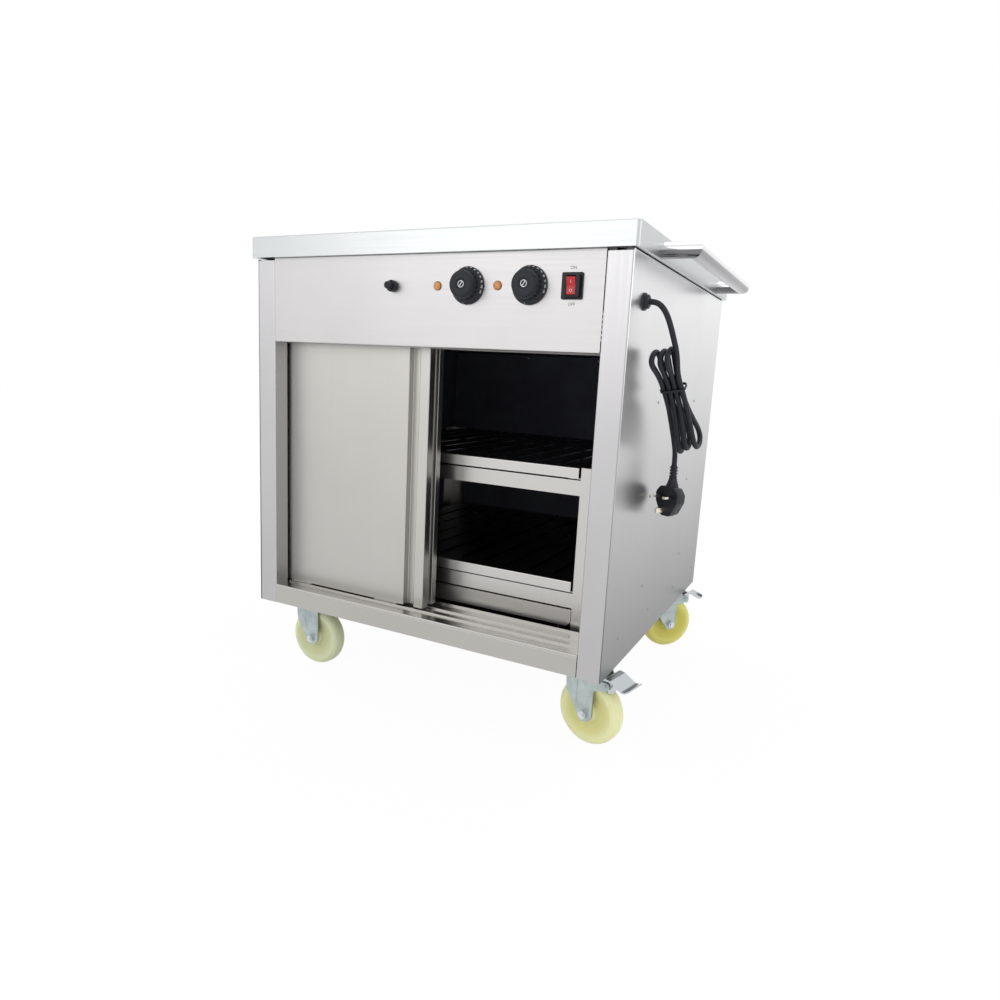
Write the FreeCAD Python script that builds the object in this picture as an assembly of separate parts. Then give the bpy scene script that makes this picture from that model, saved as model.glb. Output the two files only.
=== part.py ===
"""Heated hostess trolley: a stainless hot cupboard with two sliding doors, on four castors.

Every size is in millimetres. While a piece is drawn, X runs along the front from the left
face of the body, Y from the front face to the back, and Z up from the underside of the body.
save() then moves the piece so that the origin lies on the floor, under the middle of the
trolley's outer box.
"""
import FreeCAD, Part
import math
import os

os.makedirs("parts", exist_ok=True)
V = FreeCAD.Vector
SMOOTH, MITRED = 0, 1      # how a swept tube takes the corners of its path
ALONG_X = V(1, 0, 0)
ALONG_Y = V(0, 1, 0)
ALONG_Z = V(0, 0, 1)
FORWARD = V(0, -1, 0)
QUARTERS = ((-0.5, -0.5), (-0.5, 0.5), (0.5, -0.5), (0.5, 0.5))

# ---------------------------------------------------------------- driving dimensions
BODY_W = 700.0            # outside of the side panels
BODY_D = 660.0            # control panel to rear panel
BODY_H = 640.0            # underside of the body to underside of the worktop
SHEET = 1.2               # stainless sheet
CLEAR = 0.3               # gap between neighbouring pressed pieces
HOLE_ROOM = 0.1           # a hole's radius less that of its bolt or bush
FIT = 0.06                # the same for a piece that turns or slides

TOP_OVERHANG = 8.0
TOP_HEIGHT = 36.0
TOP_CORNER = 6.0
TOP_SKIN = 1.5
TOP_LIP = 12.0
TOP_EDGE_R = 2.5

POST_W = 40.0             # seen from the front, with the side panel's edge
POST_DEPTH = 32.0
POST_H = 636.0
POST_WALL = 1.5
RAIL_FACE_H = 33.0        # front rail and rear rail

PANEL_BOTTOM = 495.0      # lower edge of the control panel
PANEL_FLANGE = 22.0
PANEL_TOP_FLANGE = 28.0
PAN_H = 30.0              # upturned edge of the floor pan
TRACK_FLOOR = 34.2        # doors slide above this level
TRACK_HEAD = 503.0        # and below this one
TRACK_BACK = 97.0
RIDGES_Y = (34.0, 60.0, 93.0)
RIDGE_W = 2.4
RIDGE_TOP = 37.0
RIDGE_HEAD = 494.6

DOOR_W = 338.0
DOOR_T = 17.0
DOOR_BOTTOM = 39.2
DOOR_TOP = 500.0
DOOR_LEFT = 12.5          # left edge of both doors at rest
FRONT_DOOR_Y = 37.0
REAR_DOOR_Y = 64.0
DOOR_WALL = 1.0
PULL_FROM_EDGE = 20.0     # width of the stile beside the finger groove
PULL_W = 21.0
PULL_DEPTH = 13.0

LINER_X = 54.0            # cupboard walls, from each side face
LINER_BACK_Y = 624.8
LINER_SHEET = 1.0
RACK_Y = 110.0            # front face of the shelf rack
RACK_BACK_Y = 622.0
RACK_X = LINER_X + LINER_SHEET
RACK_WIDTH = 40.0
ANGLE_T = 1.5
RAIL_H = 26.0
SEAT_X = 118.0            # inner edge of the rails that carry the shelves
SHELF_LEVELS = (118.0, 313.0)
SHELF_LIP = 18.0
SHELF_X = 98.0
SHELF_Y = (106.0, 616.0)
SLOT_COLUMNS = 10
SLOT_W = 9.0
SLOT_L = 212.0
SLOT_MARGIN = 30.0        # from the front and back of a shelf

ELEMENT_D = 8.0
ELEMENT_LEGS_X = (560.0, 430.0, 300.0, 170.0)
ELEMENT_BEND = 60.0
ELEMENT_LOW_Z = 20.0
ELEMENT_STRAPS_Y = (230.0, 430.0)
ELEMENT_RESTS_Y = (230.0, 500.0)
STRAP_X = (90.0, 610.0)
REST_X = (140.0, 580.0)
STRAP_W = 20.0
STRAP_FOOT = 10.0
VENT_BANKS_X = (150.0, 410.0)
VENT_ROWS = 6
VENT_Z = 545.0
VENT_PITCH = 12.0
VENT_SIZE = (140.0, 5.0)

CONTROLS_Z = 590.0
RESET_X = 298.5
LAMPS_X = (383.3, 489.9)
KNOBS_X = (438.3, 543.8)
SWITCH_X = 611.4
KNOB_FRONT = 24.0         # how far the knobs stand out of the panel
KNOB_SKIRT_D = 57.0
KNOB_CAP_D = 44.0
SPINDLE_R = 3.0
FLUTES = 18
BUSH_R = 4.8
RESET_COLLAR_R = 9.3
RESET_NECK_R = 7.5
RESET_BUTTON_R = 5.8
LAMP_R = 6.3
LAMP_BODY_R = 4.9
SWITCH_Z = 588.6
SWITCH_FLANGE = (33.0, 38.0)
SWITCH_BODY = (26.6, 30.6)
SWITCH_BODY_L = 22.0
SWITCH_RIM = (26.0, 32.0)
SWITCH_RIM_OUT = 8.0
ROCKER = (13.6, 25.4)
ROCKER_PIVOT_Y = -3.2
ROCKER_TILT = 7.0         # the lower end is in, which is OFF
TRUNNION_R = 1.4

HANDLE_D = 25.0
HANDLE_OUT = 756.0        # centre line of the grip
HANDLE_Y = (112.0, 548.0)
HANDLE_Z = 653.0
HANDLE_PLUG_L = 6.0
STUD_R = 4.0

CASTOR_H = 140.5
WHEEL_R = 57.0
WHEEL_W = 33.0
TRAIL = 21.0              # wheel axle behind the swivel axis
AXLE_R = 4.0
AXLE_DROP = CASTOR_H - WHEEL_R
CASTOR_INSET = (56.0, 82.0)
CASTORS = {               # name: (right side, back, angle of the fork at rest, brake)
    "front_left": (False, False, 0.0, False),
    "front_right": (True, False, -12.0, True),
    "rear_left": (False, True, 20.0, False),
    "rear_right": (True, True, 42.0, True),
}
PLATE = (95.0, 70.0, 3.0)
BOLT_SPACING = (76.0, 36.0)
BOLT_R = 4.0
HEX_FLATS = 13.0          # heads and nuts of the 8 mm bolts
RACE_LOW = 10.0           # the swivel's upper race ends here
CROWN_TOP = RACE_LOW + CLEAR
CROWN_T = 5.7
CROWN_R = 30.0
KINGPIN_R = 5.0
FORK_INNER = 18.7
FORK_T = 3.0
FORK_END_R = 13.5         # round end of a leg about the axle
FORK_RIB = 2.0            # how far the pressed rib stands out of a leg
PEDAL_PIVOT = V(55.0, 0.0, -25.0)
PEDAL_PIN_R = 2.5
TREAD_HALF = 24.0
TREAD_T = 2.6
CHEEK_HALF = 18.0
CHEEK_T = 2.5

CORD_D = 8.5
CORD_AREA = math.pi * CORD_D ** 2 / 4
GLAND_Y = 62.0
GLAND_Z = 573.5
GLAND_OUT = 9.0
GLAND_NECK_R = 8.0
# Middle of the tied waist of the hank, and its length above and below the tie.
WAIST = V(739.9, 124.3, 451.2)
HANK_DOWN = V(35.0, 99.0, -151.0)
WAIST_HALF = 4.4          # the passes lie in two columns at the tie
LAYER = 9.3
# Ends of the loops: down the hank from the tie, across it, out from the body, size of turn.
LOWER_ENDS = ((116.5, 6.5, 13.0, 36.0), (107.0, -10.0, 1.5, 31.0), (111.0, -12.5, -9.5, 31.0))
UPPER_ENDS = ((-68.5, -6.5, 12.0, 30.0), (-66.0, -6.5, 0.5, 30.0), (-70.5, -14.0, -10.5, 32.0))
TIE_W = 3.6
TIE_T = 1.6
TIE_ROOM = 0.5
TIE_CORNER = 5.0
LEAD_POINTS = [
    (709.0, 62.0, 573.5), (716.5, 62.0, 573.5), (725.5, 62.6, 569.0), (733.0, 64.5, 559.5),
    (739.0, 69.0, 545.0), (744.0, 76.5, 526.0), (749.0, 89.0, 502.0),
]
TAIL_POINTS = [(728.5, 159.5, 414.0), (730.5, 179.0, 387.0), (733.5, 192.5, 361.0), (735.5, 199.0, 341.5)]
PLUG_AT = V(735.5, 199.0, 287.5)    # where the strain relief meets the plug's body
PLUG_BODY_H = 50.0
PLUG_BODY_W = 49.0
PLUG_BODY_T = 23.0
PLUG_CORNER_R = 8.0
RELIEF_L = 36.0
RELIEF_RIBS = 4
RELIEF_PITCH = 5.0
PLUG_FACING = V(-0.5, -0.8660254, 0)
PLUG_SIDE = ALONG_Z.cross(PLUG_FACING)
# Across the plug and down from its top, then width, height and length: earth, line, neutral.
PLUG_PINS = ((0.0, 39.0, 4.0, 8.0, 22.7), (-11.1, 16.8, 6.3, 4.0, 17.7), (11.1, 16.8, 6.3, 4.0, 17.7))

# The outer box of the trolley without its cord gives the origin.
BOX_LEFT = -TOP_OVERHANG
BOX_RIGHT = HANDLE_OUT + HANDLE_D / 2
BOX_FRONT = -KNOB_FRONT
BOX_BACK = BODY_D + TOP_OVERHANG
ORIGIN = V((BOX_LEFT + BOX_RIGHT) / 2, (BOX_FRONT + BOX_BACK) / 2, -CASTOR_H)


# ---------------------------------------------------------------- general helpers
def save(shape, node):
    """Move a finished piece to the trolley's own frame and write it as one STEP file."""
    moved = shape.copy()
    moved.translate(ORIGIN * -1)
    moved.exportStep("parts/%s.step" % node)
    print("%-24s %2d solid(s) %9.1f cm3" % (node, len(moved.Solids), moved.Volume / 1000))


def box(x0, x1, y0, y1, z0, z1):
    return Part.makeBox(x1 - x0, y1 - y0, z1 - z0, V(x0, y0, z0))


def rod(start, end, radius):
    path = end - start
    return Part.makeCylinder(radius, path.Length, start, path)


def unit(vector):
    return vector * (1 / vector.Length)


def arc_through(start, corner, end):
    """The arc that is tangent to start-corner and to corner-end."""
    chord = (start + end) * 0.5
    across = corner - chord
    half_turn = math.atan2(across.Length, (end - chord).Length)
    rise = (end - chord).Length * math.tan(half_turn / 2)
    return Part.Arc(start, chord + unit(across) * rise, end).toShape()


def rounded_path(points, cuts, closed=False):
    """Straight runs joined by tangent arcs. cuts says how far each arc starts from its corner."""
    count = len(points)
    starts = []
    ends = []
    for i in range(count):
        cut = cuts[i]
        before = points[i - 1] - points[i]
        after = points[(i + 1) % count] - points[i]
        starts.append(points[i] + unit(before) * cut)
        ends.append(points[i] + unit(after) * cut)
    edges = []
    for i in range(count):
        inner = closed or 0 < i < count - 1
        if inner and cuts[i] > 0:
            edges.append(arc_through(starts[i], points[i], ends[i]))
        if i == count - 1 and not closed:
            break
        run_start = ends[i] if inner else points[i]
        last = (i + 1) % count
        run_end = starts[last] if (closed or last < count - 1) else points[last]
        if (run_end - run_start).Length > 1e-6:
            edges.append(Part.LineSegment(run_start, run_end).toShape())
    return Part.Wire(edges)


def corner_cut(before, corner, after, radius):
    """Distance from a corner at which an arc of this radius starts."""
    opening = (before - corner).getAngle(after - corner)
    return radius / math.tan(opening / 2)


def prism(outline, axis, level, length, radii=0.0):
    """Extrude a flat outline. Its pairs are the two coordinates other than the axis."""
    if axis == ALONG_X:
        points = [V(level, a, b) for a, b in outline]
    elif axis == ALONG_Y:
        points = [V(a, level, b) for a, b in outline]
    else:
        points = [V(a, b, level) for a, b in outline]
    count = len(points)
    if not isinstance(radii, (list, tuple)):
        radii = [radii] * count
    cuts = [corner_cut(points[i - 1], points[i], points[(i + 1) % count], radii[i])
            if radii[i] else 0.0 for i in range(count)]
    face = Part.Face(rounded_path(points, cuts, closed=True))
    return face.extrude(axis * length)


def rectangle(a0, a1, b0, b1):
    return [(a0, b0), (a1, b0), (a1, b1), (a0, b1)]


def turned(profile, start, axis):
    """Revolve (distance along the axis, radius) pairs into a turned piece."""
    side = ALONG_Z if abs(axis.z) < 0.9 else ALONG_X
    points = [start + axis * along + side * radius for along, radius in profile]
    face = Part.Face(Part.makePolygon(points + [points[0]]))
    return face.revolve(start, axis, 360)


def hexagon(start, axis, across_flats, height):
    """A hexagon head or nut."""
    side = ALONG_Z if abs(axis.z) < 0.9 else ALONG_X
    other = axis.cross(side)
    radius = across_flats / math.sqrt(3)
    angles = [math.radians(60 * i) for i in range(6)]
    points = [start + side * (radius * math.cos(a)) + other * (radius * math.sin(a)) for a in angles]
    return Part.Face(Part.makePolygon(points + [points[0]])).extrude(axis * height)


def mirrored_x(shape):
    """The same piece on the other side of the body."""
    return shape.mirror(V(BODY_W / 2, 0, 0), ALONG_X)


def at_the_back(shape):
    """The same piece at the rear, just inside the rear panel."""
    return shape.mirror(V(0, (BODY_D - SHEET) / 2, 0), ALONG_Y)


def group(shapes):
    return Part.makeCompound(shapes)


def tube(path, start, direction, radius, corners=SMOOTH):
    """Sweep a round section along a path, whose corners are smooth or mitred."""
    ring = Part.Wire(Part.Circle(start, direction, radius).toShape())
    return path.makePipeShell([ring], True, False, corners)


# ---------------------------------------------------------------- worktop and body shell
def strap(ends, y, low, high, side):
    """Bridge of sheet across an element: its plate is the upper face, or the lower for side -1."""
    x0, x1 = ends
    y0, y1 = y - STRAP_W / 2, y + STRAP_W / 2
    inner_low = low + SHEET if side < 0 else low
    inner_high = high if side < 0 else high - SHEET
    block = box(x0, x1, y0, y1, low, high)
    return block.cut(box(x0 + STRAP_FOOT, x1 - STRAP_FOOT, y0, y1, inner_low, inner_high))


def worktop():
    """Folded pan, open below, with an inward lip and two straps that carry the element."""
    low = BODY_H
    high = BODY_H + TOP_HEIGHT
    x0, x1 = -TOP_OVERHANG, BODY_W + TOP_OVERHANG
    y0, y1 = -TOP_OVERHANG, BODY_D + TOP_OVERHANG
    shell = prism(rectangle(x0, x1, y0, y1), ALONG_Z, low, TOP_HEIGHT, TOP_CORNER)
    top_edges = [edge for edge in shell.Edges if edge.BoundBox.ZMin > high - 0.01]
    shell = shell.makeFillet(TOP_EDGE_R, top_edges)
    room = prism(rectangle(x0 + SHEET, x1 - SHEET, y0 + SHEET, y1 - SHEET), ALONG_Z,
                 low + SHEET, TOP_HEIGHT - SHEET - TOP_SKIN, TOP_CORNER - SHEET)
    mouth = box(x0 + TOP_LIP, x1 - TOP_LIP, y0 + TOP_LIP, y1 - TOP_LIP, low, low + SHEET)
    shell = shell.cut(room).cut(mouth)
    under = high - TOP_SKIN
    for y in ELEMENT_STRAPS_Y:
        shell = shell.fuse(strap(STRAP_X, y, under - ELEMENT_D - 2 * SHEET, under, -1))
    for y in HANDLE_Y:
        shell = shell.cut(rod(V(x1 - 5, y, HANDLE_Z), V(x1 + 1, y, HANDLE_Z), STUD_R + HOLE_ROOM))
    return shell


def corner_post():
    """Folded square tube of the left front corner."""
    outer = prism(rectangle(SHEET, POST_W, 0, POST_DEPTH), ALONG_Z, 0, POST_H, 2.0)
    inner = prism(rectangle(SHEET + POST_WALL, POST_W - POST_WALL, POST_WALL, POST_DEPTH - POST_WALL),
                  ALONG_Z, 0, POST_H, 0.5)
    return outer.cut(inner)


def folded_rail():
    """C channel under the door tracks, open to the back."""
    deep, top = POST_DEPTH - 0.5, RAIL_FACE_H
    outline = [(0, 0), (deep, 0), (deep, POST_WALL), (POST_WALL, POST_WALL), (POST_WALL, top - POST_WALL),
               (deep, top - POST_WALL), (deep, top), (0, top)]
    return prism(outline, ALONG_X, POST_W + CLEAR, BODY_W - 2 * (POST_W + CLEAR), [1.5, 0, 0, 0, 0, 0, 0, 1.5])


def ridge_outline(floor, ridge, back):
    """Section of a door track: a plate with one upstanding ridge for every guide edge."""
    points = []
    for y in RIDGES_Y:
        points += [(y, floor), (y, ridge), (y + RIDGE_W, ridge), (y + RIDGE_W, floor)]
    points.append((back, floor))
    return points


def bottom_track():
    """Sill plate with the ridges that the doors run between and a lip on the front rail."""
    under = TRACK_FLOOR - SHEET
    outline = ridge_outline(TRACK_FLOOR, RIDGE_TOP, TRACK_BACK)
    outline += [(TRACK_BACK, under), (RIDGES_Y[0], under)]
    runs = prism(outline, ALONG_X, SHEET + CLEAR, BODY_W - 2 * (SHEET + CLEAR))
    sill = [(0, under), (RIDGES_Y[0], under), (RIDGES_Y[0], TRACK_FLOOR), (RIDGE_W, TRACK_FLOOR),
            (RIDGE_W, RIDGE_TOP), (0, RIDGE_TOP)]
    lip = prism(sill, ALONG_X, POST_W + CLEAR, BODY_W - 2 * (POST_W + CLEAR), [0, 0, 0, 0.8, 0.8, 1.2])
    return runs.fuse(lip).removeSplitter()


def top_track():
    """Guide plate above the doors, hung from the control panel's lower flange."""
    over = TRACK_HEAD + SHEET
    outline = ridge_outline(TRACK_HEAD, RIDGE_HEAD, TRACK_BACK - 0.1)
    outline += [(TRACK_BACK - 0.1, over), (PANEL_FLANGE - SHEET, over), (PANEL_FLANGE - SHEET, TRACK_HEAD)]
    edge = POST_W + CLEAR
    front = box(0, edge, 0, POST_DEPTH + CLEAR, TRACK_HEAD - 1, over + 1)
    plate = prism(outline, ALONG_X, SHEET + CLEAR, BODY_W - 2 * (SHEET + CLEAR))
    return plate.cut(front).cut(mirrored_x(front))


def base_pan():
    """Floor pan between the posts, with upturned edges, castor holes and two element rests."""
    x0, x1 = SHEET, BODY_W - SHEET
    y0, y1 = POST_DEPTH + 0.5, BODY_D - SHEET - POST_DEPTH - 0.5
    pan = box(x0, x1, y0, y1, 0, PAN_H)
    pan = pan.cut(box(x0 + SHEET, x1 - SHEET, y0 + SHEET, y1 - SHEET, SHEET, PAN_H))
    for y in ELEMENT_RESTS_Y:
        pan = pan.fuse(strap(REST_X, y, SHEET, ELEMENT_LOW_Z - ELEMENT_D / 2, 1))
    for hole in castor_bolt_places():
        pan = pan.cut(rod(hole, hole + ALONG_Z * 5, BOLT_R + HOLE_ROOM))
    return pan


def control_panel():
    """Folded fascia with a hole for every control."""
    x0 = POST_W + 0.6
    width = BODY_W - 2 * x0
    outline = [(0, PANEL_BOTTOM), (PANEL_FLANGE, PANEL_BOTTOM), (PANEL_FLANGE, TRACK_HEAD),
               (PANEL_FLANGE - SHEET, TRACK_HEAD), (PANEL_FLANGE - SHEET, PANEL_BOTTOM + SHEET),
               (SHEET, PANEL_BOTTOM + SHEET), (SHEET, BODY_H - SHEET),
               (PANEL_TOP_FLANGE, BODY_H - SHEET), (PANEL_TOP_FLANGE, BODY_H), (0, BODY_H)]
    radii = [1.5, 1.2, 0, 0, 0, 0, 0, 0, 0, 1.2]
    panel = prism(outline, ALONG_X, x0, width, radii)
    for x in KNOBS_X:
        panel = panel.cut(rod(V(x, -1, CONTROLS_Z), V(x, 2, CONTROLS_Z), BUSH_R + HOLE_ROOM))
    for x in LAMPS_X:
        panel = panel.cut(rod(V(x, -1, CONTROLS_Z), V(x, 2, CONTROLS_Z), LAMP_BODY_R + HOLE_ROOM))
    panel = panel.cut(rod(V(RESET_X, -1, CONTROLS_Z), V(RESET_X, 2, CONTROLS_Z), RESET_NECK_R + HOLE_ROOM))
    half_w, half_h = SWITCH_BODY[0] / 2 + 0.2, SWITCH_BODY[1] / 2 + 0.2
    return panel.cut(box(SWITCH_X - half_w, SWITCH_X + half_w, -1, 2,
                         SWITCH_Z - half_h, SWITCH_Z + half_h))


def side_panel():
    """Left side sheet, with a flange under the worktop."""
    sheet = box(0, SHEET, 0, BODY_D, 0, BODY_H - 2)
    flange = box(0, 16, POST_DEPTH + 6, BODY_D - POST_DEPTH - 6, BODY_H - 2 - SHEET, BODY_H - 2)
    return sheet.fuse(flange).removeSplitter()


def side_panel_right():
    gland_hole = rod(V(BODY_W - 5, GLAND_Y, GLAND_Z), V(BODY_W + 5, GLAND_Y, GLAND_Z), GLAND_NECK_R + HOLE_ROOM)
    return mirrored_x(side_panel()).cut(gland_hole)


def rear_panel():
    """Back sheet with two banks of cooling slots behind the controls."""
    sheet = box(SHEET, BODY_W - SHEET, BODY_D - SHEET, BODY_D, 0, BODY_H)
    slots = []
    width, height = VENT_SIZE
    for x in VENT_BANKS_X:
        for row in range(VENT_ROWS):
            z = VENT_Z + VENT_PITCH * row
            outline = rectangle(x, x + width, z, z + height)
            slots.append(prism(outline, ALONG_Y, BODY_D - 5, 10, height / 2 - 0.01))
    return sheet.cut(group(slots))


# ---------------------------------------------------------------- cupboard inside
def liner_back():
    return box(LINER_X, BODY_W - LINER_X, LINER_BACK_Y - LINER_SHEET, LINER_BACK_Y, SHEET, TRACK_HEAD)


def liner_side():
    return box(LINER_X, LINER_X + LINER_SHEET, TRACK_BACK, LINER_BACK_Y - LINER_SHEET, SHEET, TRACK_HEAD)


def liner_ceiling():
    return box(LINER_X, BODY_W - LINER_X, TRACK_BACK, LINER_BACK_Y, TRACK_HEAD, TRACK_HEAD + LINER_SHEET)


def rack_leg():
    """Angle section leg at the left front of the rack."""
    x0 = RACK_X
    outline = [(x0, RACK_Y), (x0 + RACK_WIDTH, RACK_Y), (x0 + RACK_WIDTH, RACK_Y + ANGLE_T),
               (x0 + ANGLE_T, RACK_Y + ANGLE_T), (x0 + ANGLE_T, RACK_Y + RACK_WIDTH),
               (x0, RACK_Y + RACK_WIDTH)]
    return prism(outline, ALONG_Z, SHEET, SHELF_LEVELS[1] - SHEET, [1, 0, 0, 0, 0, 0])


def rack_front_rail(top):
    """Angle between the two front legs, under one shelf's front lip."""
    outline = [(RACK_Y, top - RAIL_H), (RACK_Y + ANGLE_T, top - RAIL_H), (RACK_Y + ANGLE_T, top - ANGLE_T),
               (RACK_Y + 20, top - ANGLE_T), (RACK_Y + 20, top), (RACK_Y, top)]
    inner = RACK_X + RACK_WIDTH
    return prism(outline, ALONG_X, inner, BODY_W - 2 * inner, [0, 0, 0, 0, 0, 1])


def rack_side_rail(seat):
    """Angle that one shelf's side edge rests on."""
    x0 = RACK_X + ANGLE_T
    outline = [(x0, seat - RAIL_H), (x0 + ANGLE_T, seat - RAIL_H), (x0 + ANGLE_T, seat - ANGLE_T),
               (SEAT_X, seat - ANGLE_T), (SEAT_X, seat), (x0, seat)]
    return prism(outline, ALONG_Y, RACK_Y + ANGLE_T, RACK_BACK_Y - RACK_Y - 2 * ANGLE_T)


def shelf_rack():
    """Four legs and eight rails: two crosswise and two lengthwise at each shelf."""
    middle = (RACK_Y + RACK_BACK_Y) / 2
    pieces = [rack_leg()]
    for level in SHELF_LEVELS:
        seat = level - SHELF_LIP
        pieces.append(rack_front_rail(seat - 3))
    pieces += [piece.mirror(V(0, middle, 0), ALONG_Y) for piece in pieces]
    legs = [pieces[0], pieces[3]]
    pieces += [mirrored_x(leg) for leg in legs]
    for level in SHELF_LEVELS:
        rail = rack_side_rail(level - SHELF_LIP)
        pieces += [rail, mirrored_x(rail)]
    return group(pieces)


def shelf(level):
    """Turned-down tray with slots that run from front to back."""
    x0, x1 = SHELF_X, BODY_W - SHELF_X
    y0, y1 = SHELF_Y
    tray = box(x0, x1, y0, y1, level - SHELF_LIP, level)
    front = [edge for edge in tray.Edges
             if edge.BoundBox.ZMin > level - 0.01 and edge.BoundBox.YMax < y0 + 0.01]
    tray = tray.makeFillet(2.0, front)
    tray = tray.cut(box(x0 + SHEET, x1 - SHEET, y0 + SHEET, y1 - SHEET, level - SHELF_LIP, level - SHEET))
    pitch = (x1 - x0 - 40) / SLOT_COLUMNS
    slots = []
    for column in range(SLOT_COLUMNS):
        x = x0 + 20 + pitch * (column + 0.5)
        for start in (y0 + SLOT_MARGIN, y1 - SLOT_MARGIN - SLOT_L):
            slots.append(prism(rectangle(x - SLOT_W / 2, x + SLOT_W / 2, start, start + SLOT_L),
                               ALONG_Z, level - 3, 6, SLOT_W / 2 - 0.01))
    return tray.cut(group(slots))


def heater_cover():
    """Tray over the lower element: a front flange with clipped corners and two inner feet."""
    x0, x1 = SHELF_X - 1, BODY_W - SHELF_X + 1
    y0, y1 = RACK_Y + 3, SHELF_Y[1]
    low, high = RIDGE_TOP, 67.0
    clip = 7.0
    flange = prism([(x0 + clip, low), (x1 - clip, low), (x1, low + clip), (x1, high), (x0, high),
                    (x0, low + clip)], ALONG_Y, y0, SHEET)
    top = box(x0, x1, y0, y1, high - SHEET, high)
    foot = box(SEAT_X, SEAT_X + SHEET, y0 + SHEET, y1 - 40, SHEET, high - SHEET)
    cover = flange.fuse(top).fuse(foot).fuse(mirrored_x(foot))
    vents = []
    for column in range(6):
        x = 160 + 76 * column
        vents.append(prism(rectangle(x - 20, x + 20, 240, 246), ALONG_Z, high - 3, 6, 2.99))
        vents.append(prism(rectangle(x - 20, x + 20, 480, 486), ALONG_Z, high - 3, 6, 2.99))
    return cover.cut(group(vents)).removeSplitter()


# ---------------------------------------------------------------- heating and switching
def heating_element(z, y_front, y_back):
    """Tubular element bent to a W, with thinner terminal pins at its two ends."""
    y_inner = y_front + 40
    ys = (y_front, y_back, y_back, y_inner, y_inner, y_back, y_back, y_front)
    points = [V(x, y, z) for x, y in zip([x for x in ELEMENT_LEGS_X for _end in range(2)], ys)]
    path = rounded_path(points, [0.0] + [ELEMENT_BEND] * 6 + [0.0])
    body = tube(path, points[0], ALONG_Y, ELEMENT_D / 2)
    for x in (ELEMENT_LEGS_X[0], ELEMENT_LEGS_X[-1]):
        body = body.fuse(rod(V(x, y_front - 18, z), V(x, y_front, z), 2.0))
    return body


def thermostat(x):
    """Capillary thermostat behind the panel: moulded body, bracket, bush and tags."""
    body = prism(rectangle(x - 18, x + 18, CONTROLS_Z - 22, CONTROLS_Z + 22), ALONG_Y, SHEET + 2, 32, 4)
    bracket = box(x - 20, x + 20, SHEET, SHEET + 2, CONTROLS_Z - 14, CONTROLS_Z + 14)
    bush = rod(V(x, -0.2, CONTROLS_Z), V(x, SHEET + 2, CONTROLS_Z), BUSH_R)
    shape = body.fuse(bracket).fuse(bush)
    for offset in (-10, 0, 10):
        tag = box(x + offset - 3.2, x + offset + 3.2, SHEET + 34, SHEET + 42, CONTROLS_Z - 10, CONTROLS_Z - 9.2)
        shape = shape.fuse(tag)
    bore = rod(V(x, -1, CONTROLS_Z), V(x, 8, CONTROLS_Z), SPINDLE_R + FIT)
    return shape.cut(bore)


def knob(x):
    """Dial knob: bevelled skirt for the numbers, fluted cap with a dished middle, and spindle."""
    skirt, cap = KNOB_SKIRT_D / 2, KNOB_CAP_D / 2
    centre = V(x, 0, CONTROLS_Z)
    profile = [(0.8, 0), (0.8, skirt), (2.6, skirt), (7.0, cap + 2.5), (8.0, cap),
               (KNOB_FRONT - 2.5, cap - 1.6), (KNOB_FRONT - 0.7, cap - 2.8), (KNOB_FRONT, cap - 5.0),
               (KNOB_FRONT, 8.5),
               (KNOB_FRONT - 1.6, 7.0), (KNOB_FRONT - 1.6, 0)]
    shape = turned(profile, centre, FORWARD)
    flutes = []
    for i in range(FLUTES):
        angle = math.radians((i + 0.5) * 360 / FLUTES)
        side = V(math.cos(angle), 0, math.sin(angle)) * (cap + 1.2)
        flutes.append(rod(centre + side + V(0, -9.2, 0), centre + side + V(0, -KNOB_FRONT - 1, 0), 2.4))
    shape = shape.cut(group(flutes))
    spindle = rod(centre + V(0, 5, 0), centre + V(0, -6, 0), SPINDLE_R)
    return shape.fuse(spindle)


def reset_cutout():
    """Safety cut-out: a drum behind the panel with a round collar in front of it."""
    centre = V(RESET_X, 0, CONTROLS_Z)
    profile = [(-20, 0), (-20, 12), (-SHEET, 12), (-SHEET, RESET_NECK_R), (0, RESET_NECK_R),
               (0, RESET_COLLAR_R), (7.5, RESET_COLLAR_R), (9.0, RESET_COLLAR_R - 1.3),
               (9.0, RESET_BUTTON_R + FIT), (-6, RESET_BUTTON_R + FIT), (-6, 0)]
    return turned(profile, centre, FORWARD)


def reset_button():
    centre = V(RESET_X, 0, CONTROLS_Z)
    profile = [(-1, 0), (-1, RESET_BUTTON_R), (18.0, RESET_BUTTON_R), (19.5, RESET_BUTTON_R - 1.2), (19.5, 0)]
    return turned(profile, centre, FORWARD)


def neon_lamps():
    """Two amber indicators: a low dome in front of the panel, a barrel and two pins behind."""
    lamps = []
    for x in LAMPS_X:
        centre = V(x, 0, CONTROLS_Z)
        profile = [(-24, 0), (-24, LAMP_BODY_R), (0, LAMP_BODY_R), (0, LAMP_R), (1.6, LAMP_R), (3.0, 5.2),
                   (4.0, 3.2), (4.4, 0)]
        lamps.append(turned(profile, centre, FORWARD))
    return group(lamps)


def centred(width, height, x, z):
    return rectangle(x - width / 2, x + width / 2, z - height / 2, z + height / 2)


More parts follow.
